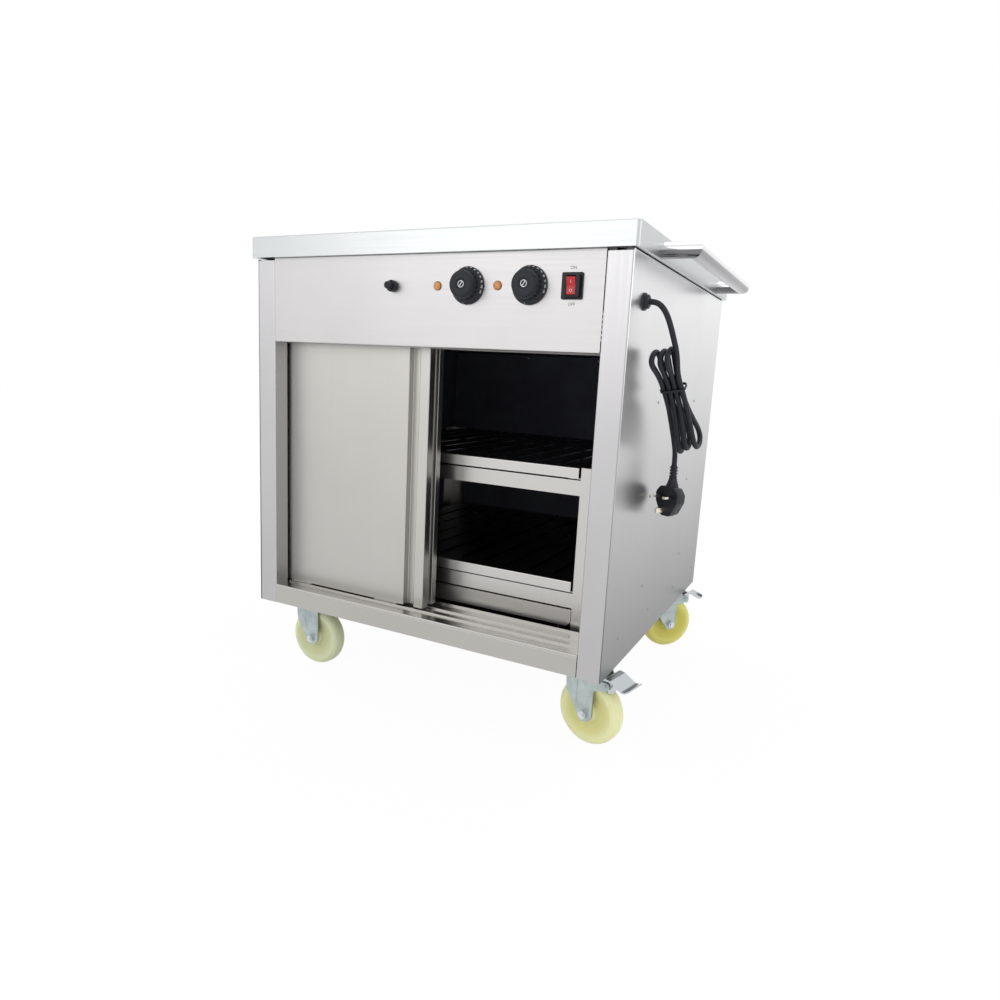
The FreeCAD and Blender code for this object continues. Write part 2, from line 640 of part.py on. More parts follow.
def switch_body():
    """Rocker switch housing: flange, raised rim with the rocker's well, body and tags."""
    flange = prism(centred(*SWITCH_FLANGE, SWITCH_X, SWITCH_Z), ALONG_Y, -2, 2, 2.5)
    rim = prism(centred(*SWITCH_RIM, SWITCH_X, SWITCH_Z), ALONG_Y, -SWITCH_RIM_OUT, SWITCH_RIM_OUT, 3)
    body = prism(centred(*SWITCH_BODY, SWITCH_X, SWITCH_Z), ALONG_Y, 0, SWITCH_BODY_L, 1)
    well = prism(centred(ROCKER[0] + 1.2, ROCKER[1] + 2.4, SWITCH_X, SWITCH_Z), ALONG_Y, -20, 27, 0.5)
    sockets = trunnions(ROCKER[0] + 3.6, TRUNNION_R + FIT)
    shape = flange.fuse(rim).fuse(body).cut(well).cut(sockets)
    for offset in (-7, 7):
        x = SWITCH_X + offset
        tag = box(x - 0.4, x + 0.4, SWITCH_BODY_L, SWITCH_BODY_L + 8, SWITCH_Z - 3.1, SWITCH_Z + 3.1)
        shape = shape.fuse(tag)
    return shape


def trunnions(length, radius):
    half = V(length / 2, 0, 0)
    centre = V(SWITCH_X, ROCKER_PIVOT_Y, SWITCH_Z)
    return rod(centre - half, centre + half, radius)


def rocker():
    """Rocker with a shallow V front and a rounded back, tilted to OFF: its lower end is in."""
    half = ROCKER[1] / 2
    outline = [(-8.6, -half), (-6.8, 0), (-8.6, half), (-1.5, half), (3.0, 4.0), (3.0, -4.0), (-1.5, -half)]
    shape = prism([(y, SWITCH_Z + z) for y, z in outline], ALONG_X, SWITCH_X - ROCKER[0] / 2, ROCKER[0],
                  [1.2, 9, 1.2, 1.2, 1.5, 1.5, 1.2])
    shape = shape.fuse(trunnions(ROCKER[0] + 3.0, TRUNNION_R))
    shape.rotate(V(SWITCH_X, ROCKER_PIVOT_Y, SWITCH_Z), ALONG_X, ROCKER_TILT)
    return shape


def terminal_block():
    """Ceramic block on the side panel inside, where the mains cord ends."""
    x1 = BODY_W - SHEET
    block = prism(rectangle(92, 148, 524, 552), ALONG_X, x1 - 20, 20, 2)
    for i in range(3):
        y = 103 + 17 * i
        block = block.cut(rod(V(x1 - 21, y, 538), V(x1 - 12, y, 538), 3.5))
        block = block.cut(rod(V(x1 - 10, y, 520), V(x1 - 10, y, 556), 2.0))
    return block


# ---------------------------------------------------------------- push handle
def push_handle():
    """Mitred tube with two arms square to the worktop's side face, and a plug in each end."""
    face = BODY_W + TOP_OVERHANG
    path = Part.makePolygon([V(face, HANDLE_Y[0], HANDLE_Z), V(HANDLE_OUT, HANDLE_Y[0], HANDLE_Z),
                             V(HANDLE_OUT, HANDLE_Y[1], HANDLE_Z), V(face, HANDLE_Y[1], HANDLE_Z)])
    start = V(face, HANDLE_Y[0], HANDLE_Z)
    outer = tube(path, start, ALONG_X, HANDLE_D / 2, MITRED)
    handle = outer.cut(tube(path, start, ALONG_X, HANDLE_D / 2 - POST_WALL, MITRED))
    for y in HANDLE_Y:
        end = V(face, y, HANDLE_Z)
        handle = handle.fuse(rod(end, end + ALONG_X * HANDLE_PLUG_L, HANDLE_D / 2 - POST_WALL / 2))
        handle = handle.cut(rod(end, end + ALONG_X * HANDLE_PLUG_L, STUD_R + HOLE_ROOM))
    return handle


def handle_bolts():
    """Bolts that hold the handle from inside the worktop's edge."""
    inside = BODY_W + TOP_OVERHANG - SHEET
    bolts = []
    for y in HANDLE_Y:
        shank = rod(V(inside, y, HANDLE_Z), V(inside + SHEET + 5.5, y, HANDLE_Z), STUD_R)
        washer = rod(V(inside - 1.5, y, HANDLE_Z), V(inside, y, HANDLE_Z), 9.0)
        head = hexagon(V(inside - 7, y, HANDLE_Z), ALONG_X, HEX_FLATS, 5.5)
        bolts.append(shank.fuse(washer).fuse(head))
    return group(bolts)


# ---------------------------------------------------------------- doors
def door_section():
    """Plan of a folded door skin with its finger groove, as (outer, inner) outlines."""
    w, t, wall = DOOR_W, DOOR_T, DOOR_WALL
    g1 = w - PULL_FROM_EDGE
    g0 = g1 - PULL_W
    outer = [(0, 3), (7, 3), (7, 0), (g0, 0), (g0, PULL_DEPTH), (g1, PULL_DEPTH), (g1, 0), (w, 0),
             (w, t), (0, t)]
    deep = PULL_DEPTH + wall
    inner = [(wall, 3 + wall), (7 + wall, 3 + wall), (7 + wall, wall), (g0 - wall, wall), (g0 - wall, deep),
             (g1 + wall, deep), (g1 + wall, wall), (w - wall, wall), (w - wall, t - wall), (wall, t - wall)]
    return outer, inner


def door(y):
    """Hollow door, left edge at DOOR_LEFT and front face at y, groove near its right edge."""
    outer, inner = door_section()
    outer_radii = [1, 0, 1.5, 2, 1.5, 1.5, 2, 2, 1, 1]
    height = DOOR_TOP - DOOR_BOTTOM
    skin = prism([(DOOR_LEFT + a, y + b) for a, b in outer], ALONG_Z, DOOR_BOTTOM, height, outer_radii)
    hollow = prism([(DOOR_LEFT + a, y + b) for a, b in inner], ALONG_Z, DOOR_BOTTOM, height)
    return skin.cut(hollow)


def door_glides(y):
    """Nylon blocks in the open ends of a door: two feet below and two guides above."""
    pieces = []
    for x in (DOOR_LEFT + 30, DOOR_LEFT + 230):
        front, back = y + DOOR_WALL, y + DOOR_T - DOOR_WALL
        foot = box(x, x + 50, y + 3.5, y + DOOR_T - 3.5, TRACK_FLOOR + CLEAR, DOOR_BOTTOM)
        pieces.append(foot.fuse(box(x, x + 50, front, back, DOOR_BOTTOM, DOOR_BOTTOM + 20)).removeSplitter())
        guide = box(x, x + 50, y + 4.5, y + DOOR_T - 4.5, DOOR_TOP, TRACK_HEAD - CLEAR)
        pieces.append(guide.fuse(box(x, x + 50, front, back, DOOR_TOP - 20, DOOR_TOP)).removeSplitter())
    return group(pieces)


def turned_about(shape, middle_x):
    """The same door piece made for the other hand."""
    return shape.mirror(V(middle_x, 0, 0), ALONG_X)


# ---------------------------------------------------------------- castors
def castor_place(right, back):
    x = BODY_W - CASTOR_INSET[0] if right else CASTOR_INSET[0]
    y = BODY_D - CASTOR_INSET[1] if back else CASTOR_INSET[1]
    return V(x, y, 0)


def castor_bolt_places():
    """Centres of the sixteen castor bolts on the underside of the body."""
    places = []
    for right, back, _angle, _brake in CASTORS.values():
        for sx, sy in QUARTERS:
            places.append(castor_place(right, back) + V(sx * BOLT_SPACING[0], sy * BOLT_SPACING[1], 0))
    return places


def castor_plates():
    """Four top plates, each with the swivel's upper race and its kingpin."""
    w, d, t = PLATE
    pin_end = CROWN_TOP + CROWN_T + CLEAR
    race = [(-t, 0), (-t, 29), (-5.5, 28.5), (-RACE_LOW, 24), (-RACE_LOW, KINGPIN_R), (-pin_end, KINGPIN_R),
            (-pin_end, 8), (-pin_end - 3, 7), (-pin_end - 3, 0)]
    plate = prism(rectangle(-w / 2, w / 2, -d / 2, d / 2), ALONG_Z, -t, t, 6)
    plate = plate.fuse(turned(race, V(0, 0, 0), ALONG_Z))
    for sx, sy in QUARTERS:
        hole = V(sx * BOLT_SPACING[0], sy * BOLT_SPACING[1], -t - 1)
        plate = plate.cut(rod(hole, hole + ALONG_Z * (t + 2), BOLT_R + HOLE_ROOM))
    plates = []
    for right, back, _angle, _brake in CASTORS.values():
        placed = plate.copy()
        placed.translate(castor_place(right, back))
        plates.append(placed)
    return group(plates)


def castor_bolts():
    """Bolts through the castor plates and the floor pan, with their nuts."""
    bolts = []
    for at in castor_bolt_places():
        under = at - ALONG_Z * PLATE[2]
        head = hexagon(under - ALONG_Z * 5.0, ALONG_Z, HEX_FLATS, 5.0)
        nut = hexagon(at + ALONG_Z * SHEET, ALONG_Z, HEX_FLATS, 6.5)
        bolts.append(head.fuse(rod(under, at + ALONG_Z * 12, BOLT_R)).fuse(nut))
    return group(bolts)


def leg_outline(brake):
    """Side view of a fork's leg with the radii of its corners. With a brake it has an ear."""
    crown = -CROWN_TOP - 1.0
    right = TRAIL + FORK_END_R
    low = -AXLE_DROP - FORK_END_R
    knee = (-17.0, -50.0)
    # The slanting edge from the knee touches the circle of the leg's round end.
    dx = knee[0] - TRAIL
    dz = knee[1] + AXLE_DROP
    angle = math.atan2(dz, dx) + math.acos(FORK_END_R / math.hypot(dx, dz))
    touch = (TRAIL + FORK_END_R * math.cos(angle), -AXLE_DROP + FORK_END_R * math.sin(angle))
    left = knee[0] + (touch[0] - knee[0]) * (low - knee[1]) / (touch[1] - knee[1])
    foot = [(right, low), (left, low), knee, (-20.0, crown)]
    foot_radii = [FORK_END_R, FORK_END_R, 22.0, 0.0]
    if not brake:
        return [(right, crown)] + foot, [0.0] + foot_radii
    ear = [(44.0, crown), (48.0, -19.5), (59.0, -19.5), (64.0, -25.5), (59.0, -32.5), (47.0, -36.5),
           (right, -37.5)]
    return ear + foot, [2.0, 3.0, 4.0, 4.0, 4.0, 5.0, 8.0] + foot_radii


def fork_leg(brake):
    """One pressed leg, with a rib down its middle from the crown to the axle."""
    outline, radii = leg_outline(brake)
    plate = prism(outline, ALONG_Y, FORK_INNER, FORK_T + FORK_RIB, radii)
    flat, proud = FORK_INNER + FORK_T, FORK_INNER + FORK_T + FORK_RIB
    rib_left = TRAIL - 15.0
    rib_right = TRAIL + 9.0
    bevel = 3.0
    reach = PEDAL_PIVOT.x + 15.0
    plan = [(-CROWN_R, FORK_INNER), (reach, FORK_INNER), (reach, flat), (rib_right + bevel, flat),
            (rib_right, proud), (rib_left, proud), (rib_left - bevel, flat), (-CROWN_R, flat)]
    return plate.common(prism(plan, ALONG_Z, -CASTOR_H, CASTOR_H))


def fork(brake):
    """Fork in its own frame: crown with the lower race, two legs, and a pin for a pedal."""
    half = FORK_INNER + FORK_T
    under = -CROWN_TOP - CROWN_T
    disc = Part.makeCylinder(CROWN_R, CROWN_T, V(0, 0, under))
    bridge = box(0, TRAIL + FORK_END_R, -half, half, under, -CROWN_TOP)
    ring = turned([(-CROWN_TOP - 1, 10), (under - 2, 10), (under - 2, 15), (under, 17), (-CROWN_TOP - 1, 17)],
                  V(0, 0, 0), ALONG_Z)
    leg = fork_leg(brake)
    shape = disc.fuse(bridge).fuse(ring).fuse(leg).fuse(leg.mirror(V(0, 0, 0), ALONG_Y))
    if brake:
        reach = ALONG_Y * (half + 1.5)
        shape = shape.fuse(rod(PEDAL_PIVOT - reach, PEDAL_PIVOT + reach, PEDAL_PIN_R))
    shape = shape.cut(rod(V(0, 0, -40), V(0, 0, 0), KINGPIN_R + FIT))
    axle_hole = rod(V(TRAIL, -30, -AXLE_DROP), V(TRAIL, 30, -AXLE_DROP), AXLE_R + HOLE_ROOM)
    return shape.cut(axle_hole).removeSplitter()


def axle():
    """Axle bolt with its head on one leg and its nut on the other."""
    centre = V(TRAIL, 0, -AXLE_DROP)
    half = FORK_INNER + FORK_T + FORK_RIB
    nut = hexagon(centre - ALONG_Y * (half + 7), ALONG_Y, HEX_FLATS, 7)
    shank = rod(centre - ALONG_Y * (half + 10), centre + ALONG_Y * half, AXLE_R)
    head = hexagon(centre + ALONG_Y * half, ALONG_Y, HEX_FLATS, 5.5)
    return shank.fuse(head).fuse(nut)


def wheel():
    """Solid nylon wheel: rounded tread, dished faces and a raised hub round the bore."""
    centre = V(TRAIL, 0, -AXLE_DROP)
    half = WHEEL_W / 2
    side = [(half + 1.6, AXLE_R + FIT), (half + 1.6, 12.0), (half + 0.6, 14.5), (half - 5.5, 19.0),
            (half - 6.0, 27.0), (half - 3.2, 37.5), (half - 0.8, 45.0), (half - 1.8, WHEEL_R - 7.0),
            (half - 4.6, WHEEL_R - 3.0), (half - 8.2, WHEEL_R - 0.8), (half - 11.5, WHEEL_R)]
    profile = side + [(-along, radius) for along, radius in reversed(side)]
    return turned(profile, centre, ALONG_Y)


def brake_pedal():
    """Foot lever: a dished tread on two cheeks, hinged on the fork's pin, with a brake shoe."""
    top = [(49.0, -14.5), (56.0, -10.8), (66.0, -12.5), (78.0, -19.5), (86.0, -23.5), (92.0, -22.8),
           (98.0, -18.5)]
    under = [(x + 0.6, z - TREAD_T) for x, z in reversed(top)]
    radii = [0, 6, 9, 9, 7, 7, 0]
    tread = prism(top + under, ALONG_Y, -TREAD_HALF, 2 * TREAD_HALF, radii + [0] + radii[-2:0:-1] + [0])
    ends = prism([(40.0, -TREAD_HALF), (90.0, -TREAD_HALF), (99.5, -TREAD_HALF), (99.5, TREAD_HALF),
                  (90.0, TREAD_HALF), (40.0, TREAD_HALF)], ALONG_Z, -40, 40, [3, 0, 8, 8, 0, 3])
    tread = tread.common(ends)
    cheek = prism([(50.0, -15.0), (65.0, -14.5), (63.0, -28.0), (56.0, -31.5), (50.0, -28.0)],
                  ALONG_Y, -CHEEK_HALF, CHEEK_T, [0, 0, 4, 4, 3])
    shoe = prism([(50.0, -16.0), (66.0, -15.5), (66.0, -35.0), (61.0, -38.0), (56.0, -33.0), (50.0, -29.0)],
                 ALONG_Y, CHEEK_T - CHEEK_HALF, 2 * (CHEEK_HALF - CHEEK_T))
    shape = tread.fuse(cheek).fuse(cheek.mirror(V(0, 0, 0), ALONG_Y)).fuse(shoe)
    reach = ALONG_Y * 2 * CHEEK_HALF
    return shape.cut(rod(PEDAL_PIVOT - reach, PEDAL_PIVOT + reach, PEDAL_PIN_R + FIT))


def seat_castor(shape, name):
    """Turn a castor piece to its rest angle and put it under its corner."""
    right, back, angle, _brake = CASTORS[name]
    placed = shape.copy()
    placed.rotate(V(0, 0, 0), ALONG_Z, angle)
    placed.translate(castor_place(right, back))
    return placed


# ---------------------------------------------------------------- mains cord
HANK_ALONG = unit(HANK_DOWN)
HANK_OUT = unit(ALONG_X - HANK_ALONG * HANK_ALONG.x)
HANK_ACROSS = HANK_OUT.cross(HANK_ALONG)


def hank_point(along, across, out):
    """A point of the hank: down its length, across its loops and away from the body."""
    return WAIST + HANK_ALONG * along + HANK_ACROSS * across + HANK_OUT * out


def hank_stations():
    """Places and directions that the hank passes, a quarter of a loop apart, with turn sizes."""
    out = 1.5 * LAYER
    stations = [(hank_point(0, -WAIST_HALF, out), HANK_ALONG, 0.0)]
    for lower, upper in zip(LOWER_ENDS, UPPER_ENDS):
        out -= LAYER / 2
        stations.append((hank_point(*lower[:3]), HANK_ACROSS, lower[3]))
        stations.append((hank_point(0, WAIST_HALF, out), HANK_ALONG * -1, 0.0))
        out -= LAYER / 2
        stations.append((hank_point(*upper[:3]), HANK_ACROSS * -1, upper[3]))
        stations.append((hank_point(0, -WAIST_HALF, out), HANK_ALONG, 0.0))
    return stations


def biarc_corners(start, start_way, end, end_way, end_length):
    """Corners of two tangent arcs that leave start and reach end in the given directions."""
    gap = end - start
    reach = gap.dot(gap) - 2 * end_length * gap.dot(end_way)
    start_length = reach / (2 * (gap.dot(start_way) + end_length * (1 - start_way.dot(end_way))))
    first = start + start_way * start_length
    second = end - end_way * end_length
    joint = first + (second - first) * (start_length / (start_length + end_length))
    return first, joint, second


def hank_edges():
    """Arcs of the hank, two to each quarter of a loop."""
    edges = []
    stations = hank_stations()
    for (start, start_way, start_turn), (end, end_way, end_turn) in zip(stations, stations[1:]):
        if end_turn:
            first, joint, second = biarc_corners(start, start_way, end, end_way, end_turn)
        else:
            second, joint, first = biarc_corners(end, end_way * -1, start, start_way * -1, start_turn)
        edges.append(arc_through(start, first, joint))
        edges.append(arc_through(joint, second, end))
    return edges


def least_gap(edges):
    """Least distance between the surfaces of turns that aren't neighbours along the cord."""
    points = []
    walked = 0.0
    for edge in edges:
        steps = max(2, int(edge.Length / 3.0))
        for place in edge.discretize(steps)[:-1]:
            points.append((walked, place))
            walked += edge.Length / (steps - 1)
    least = 1e9
    for i, (at, place) in enumerate(points):
        for other_at, other in points[i + 1:]:
            if other_at - at > 5 * CORD_D:
                least = min(least, (other - place).Length)
    return least - CORD_D


def cord_hank():
    """Three loops of cord, drawn in at the tie, as one unbroken tube."""
    edges = hank_edges()
    path = Part.Wire(edges)
    radii = [edge.Curve.Radius for edge in edges]
    print("hank: length %.1f, least radius %.1f, gap %.2f" % (path.Length, min(radii), least_gap(edges)))
    start, way, _turn = hank_stations()[0]
    solid = tube(path, start, way, CORD_D / 2)
    print("hank: volume over section times length %.4f" % (solid.Volume / (path.Length * CORD_AREA)))
    return solid


def cord_run(points, name):
    """A tube along a route: every arc takes 0.45 of the shorter run beside its corner."""
    cuts = [0.0]
    radii = []
    for before, corner, after in zip(points, points[1:], points[2:]):
        run = min((before - corner).Length, (after - corner).Length)
        cuts.append(0.45 * run)
        radii.append(0.45 * run * math.tan((before - corner).getAngle(after - corner) / 2))
    path = rounded_path(points, cuts + [0.0])
    solid = tube(path, points[0], points[1] - points[0], CORD_D / 2)
    ratio = solid.Volume / (path.Length * CORD_AREA)
    shown = ", ".join("%.0f" % radius for radius in radii)
    print("%s: length %.1f, volume ratio %.4f, radii %s" % (name, path.Length, ratio, shown))
    return solid


def cord_lead():
    """Cord from the gland to the tie."""
    points = [V(*point) for point in LEAD_POINTS]
    start, way, _turn = hank_stations()[0]
    return cord_run(points + [start - way * 26, start], "lead")


def cord_tail():
    """Cord from the tie to the plug."""
    start, way, _turn = hank_stations()[-1]
    points = [start, start + way * 20] + [V(*point) for point in TAIL_POINTS]
    return cord_run(points + [PLUG_AT + V(0, 0, RELIEF_L)], "tail")


def cord_gland():
    """Gland: flange and tapered barrel outside the panel, neck and lock nut inside."""
    centre = V(BODY_W, GLAND_Y, GLAND_Z)
    profile = [(-12, 0), (-12, GLAND_NECK_R), (0, GLAND_NECK_R), (0, 13.0), (3.0, 12.6), (3.4, 10.5),
               (7.5, 10.0), (GLAND_OUT, 7.5), (GLAND_OUT, 0)]
    gland = turned(profile, centre, ALONG_X)
    nut = hexagon(centre + V(-SHEET - 5, 0, 0), ALONG_X, 22, 5)
    return gland.fuse(nut)


def cord_tie():
    """Band round the waist of the hank."""
    room = CORD_D / 2 + TIE_ROOM
    across = WAIST_HALF + room
    out = 1.5 * LAYER + room
    bands = []
    for grow in (TIE_T, 0.0):
        a, o = across + grow, out + grow
        corners = [hank_point(-TIE_W / 2, i, j) for i, j in ((-a, -o), (a, -o), (a, o), (-a, o))]
        wire = rounded_path(corners, [TIE_CORNER + grow] * 4, closed=True)
        bands.append(Part.Face(wire).extrude(HANK_ALONG * TIE_W))
    return bands[0].cut(bands[1])


def plug_point(side, facing, down):
    return PLUG_AT + PLUG_SIDE * side + PLUG_FACING * facing + V(0, 0, -down)


def plug_outline(inset, facing):
    """Round outline of the plug's body, narrower at the earth pin's end."""
    half = PLUG_BODY_W / 2 - inset
    low = PLUG_BODY_H - inset
    right = [(half * 0.62, inset), (half, 11 + inset), (half * 0.96, 26), (half * 0.42, low)]
    pairs = right + [(-side, down) for side, down in reversed(right)]
    corners = [plug_point(side, facing, down) for side, down in pairs]
    cuts = [corner_cut(corners[i - 1], corners[i], corners[(i + 1) % 8], PLUG_CORNER_R) for i in range(8)]
    return rounded_path(corners, cuts, closed=True)


def plug_body():
    """Moulded three-pin plug: a flat face, a rounded back and a stepped strain relief."""
    half = PLUG_BODY_T / 2
    face = Part.Face(plug_outline(0.0, half - 8)).extrude(PLUG_FACING * 8)
    back = Part.makeLoft([plug_outline(0.0, half - 8), plug_outline(1.8, 3 - half), plug_outline(5.5, -half)],
                         True, True)
    relief = [(-3, 0), (-3, 10.5), (0, 10.5), (4, 9.6), (4, 8.9), (9, 8.0), (9, 7.4), (14, 6.6)]
    for rib in range(RELIEF_RIBS):
        z = 15.5 + RELIEF_PITCH * rib
        relief += [(z, 4.9), (z, 6.6), (z + 0.58 * RELIEF_PITCH, 6.4), (z + 0.58 * RELIEF_PITCH, 4.9)]
    relief += [(RELIEF_L, CORD_D / 2 + 0.6), (RELIEF_L, 0)]
    return face.fuse(back).fuse(turned(relief, PLUG_AT, ALONG_Z)).removeSplitter()


def plug_pins():
    """Earth pin at the lower end, line and neutral nearer the cord."""
    pins = []
    half = PLUG_BODY_T / 2
    for side, down, width, height, length in PLUG_PINS:
        corners = [plug_point(side + i * width / 2, half, down + j * height / 2)
                   for i, j in ((-1, -1), (1, -1), (1, 1), (-1, 1))]
        face = Part.Face(rounded_path(corners, [0.6] * 4, closed=True))
        pins.append(face.extrude(PLUG_FACING * length))
    return group(pins)


# ---------------------------------------------------------------- write every node
def main():
    save(worktop(), "worktop")
    post = corner_post()
    save(group([post, mirrored_x(post)]), "front_posts")
    save(group([at_the_back(post), mirrored_x(at_the_back(post))]), "rear_posts")
    save(folded_rail(), "front_rail")
    save(at_the_back(folded_rail()), "rear_rail")
    save(bottom_track(), "bottom_track")
    save(top_track(), "top_track")
    save(base_pan(), "base_pan")
    save(control_panel(), "control_panel")
    save(side_panel(), "side_panel_left")
    save(side_panel_right(), "side_panel_right")
    save(rear_panel(), "rear_panel")
    save(liner_back(), "liner_back")
    save(group([liner_side(), mirrored_x(liner_side())]), "liner_sides")
    save(liner_ceiling(), "liner_ceiling")
    save(shelf_rack(), "shelf_rack")
    save(shelf(SHELF_LEVELS[1]), "upper_shelf")
    save(shelf(SHELF_LEVELS[0]), "lower_shelf")
    save(heater_cover(), "heater_cover")
    save(heating_element(ELEMENT_LOW_Z, 150, 600), "bottom_element")
    top_z = BODY_H + TOP_HEIGHT - TOP_SKIN - SHEET - ELEMENT_D / 2
    save(heating_element(top_z, 90, 570), "top_element")
    for x, name in zip(KNOBS_X, ("top", "bottom")):
        save(thermostat(x), "thermostat_%s" % name)
        save(knob(x), "knob_%s" % name)
    save(reset_cutout(), "reset_cutout")
    save(reset_button(), "reset_button")
    save(neon_lamps(), "neon_lamps")
    save(switch_body(), "switch_body")
    save(rocker(), "rocker")
    save(terminal_block(), "terminal_block")
    save(push_handle(), "push_handle")
    save(handle_bolts(), "handle_bolts")
    save(door(FRONT_DOOR_Y), "front_door")
    save(door_glides(FRONT_DOOR_Y), "front_door_glides")
    door_middle = DOOR_LEFT + DOOR_W / 2
    save(turned_about(door(REAR_DOOR_Y), door_middle), "rear_door")
    save(turned_about(door_glides(REAR_DOOR_Y), door_middle), "rear_door_glides")
    save(castor_plates(), "castor_plates")
    save(castor_bolts(), "castor_bolts")
    for name, (_right, _back, _angle, brake) in CASTORS.items():
        save(seat_castor(fork(brake), name), "castor_fork_%s" % name)
        save(seat_castor(wheel(), name), "castor_wheel_%s" % name)
        save(seat_castor(axle(), name), "castor_axle_%s" % name)
        if brake:
            save(seat_castor(brake_pedal(), name), "brake_pedal_%s" % name)
    save(cord_gland(), "cord_gland")
    save(cord_lead(), "cord_lead")
    save(cord_hank(), "cord_hank")
    save(cord_tail(), "cord_tail")
    save(cord_tie(), "cord_tie")
    save(plug_body(), "plug_body")
    save(plug_pins(), "plug_pins")


main()
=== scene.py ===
# %% [markdown]
# A heated hostess trolley: a stainless hot cupboard on castors, with sliding doors, dial controls
# and a mains cord that is tied up in a hank beside the controls. The rigid parts come from the CAD
# model. This lesson gives them their finishes and adds what is too soft or too small for CAD: the
# cord, the printing on the dials, the rivets and screws, and the studio.

# %% Load the frame
import math

import bpy
import bmesh
from mathutils import Matrix, Vector


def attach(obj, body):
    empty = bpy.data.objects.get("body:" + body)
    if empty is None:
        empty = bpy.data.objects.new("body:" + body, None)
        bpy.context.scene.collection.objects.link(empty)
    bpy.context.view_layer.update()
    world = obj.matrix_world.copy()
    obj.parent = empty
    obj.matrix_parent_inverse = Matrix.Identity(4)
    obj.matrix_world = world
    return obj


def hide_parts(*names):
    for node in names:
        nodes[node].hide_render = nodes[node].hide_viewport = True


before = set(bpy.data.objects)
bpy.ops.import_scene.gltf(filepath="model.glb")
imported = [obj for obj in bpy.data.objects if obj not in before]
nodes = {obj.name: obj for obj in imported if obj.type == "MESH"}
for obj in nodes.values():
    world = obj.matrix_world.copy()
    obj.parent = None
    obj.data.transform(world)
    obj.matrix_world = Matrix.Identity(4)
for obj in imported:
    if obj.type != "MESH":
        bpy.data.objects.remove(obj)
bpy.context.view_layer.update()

# %% [markdown]
# The CAD part is drawn from the left front corner of the body, in millimetres, and its origin then
# moves to the floor. It is easiest to think about the panel and the cord in the same way, so one
# helper turns such a place into Blender's metres.

# %% Places in the body's own millimetres
MM = 0.001
BODY_ORIGIN = Vector((380.25, 322.0, -140.5))
ALONG_X, ALONG_Y, ALONG_Z = Vector((1, 0, 0)), Vector((0, 1, 0)), Vector((0, 0, 1))


def body_point(x, y, z):
    return (Vector((x, y, z)) - BODY_ORIGIN) * MM


print("front left corner of the body is at", [round(v, 3) for v in body_point(0, 0, 0)])

# %% [markdown]
# The camera stands to the right of the trolley, a little below the worktop, so that the underside
# of the worktop's edge just shows. Its place and its three directions were worked out from the
# body's parallel edges. Blender's camera looks down its own -Z, so the columns of its matrix are
# right, up and backward.

# %% Camera
CAMERA_AT = body_point(1005.6, -984.6, 463.7)
LOOK = Vector((-0.44027, 0.87977, -0.17940))
CAMERA_RIGHT = Vector((0.88887, 0.45529, 0.05149))
CAMERA_DOWN = Vector((0.12698, -0.13680, -0.98245))

camera = bpy.data.objects.new("camera", bpy.data.cameras.new("camera"))
camera.data.lens = 25.50
camera.data.sensor_width = 36.0
camera.data.clip_start = 0.05
turn = Matrix((CAMERA_RIGHT, -CAMERA_DOWN, -LOOK)).transposed().to_4x4()
camera.matrix_world = Matrix.Translation(CAMERA_AT) @ turn
bpy.context.scene.collection.objects.link(camera)
bpy.context.scene.camera = camera
print("camera height above the floor %.3f m" % camera.location.z)

# %% [markdown]
# Every finish is a small graph of nodes. The recipe is nearly always the same: noise in the
# object's own space, stretched where the real surface has a grain, drives the roughness and a
# faint bump, and a broader noise shades the colour. Object space suits a CAD part, because it
# needs no unwrapping and keeps one scale on all pieces.

# %% A helper for graphs of nodes
EVEN = (1.0, 1.0, 1.0)            # noise that has no direction
NOISE_MIDDLE = (0.3, 0.7)         # where nearly all values of the noise lie


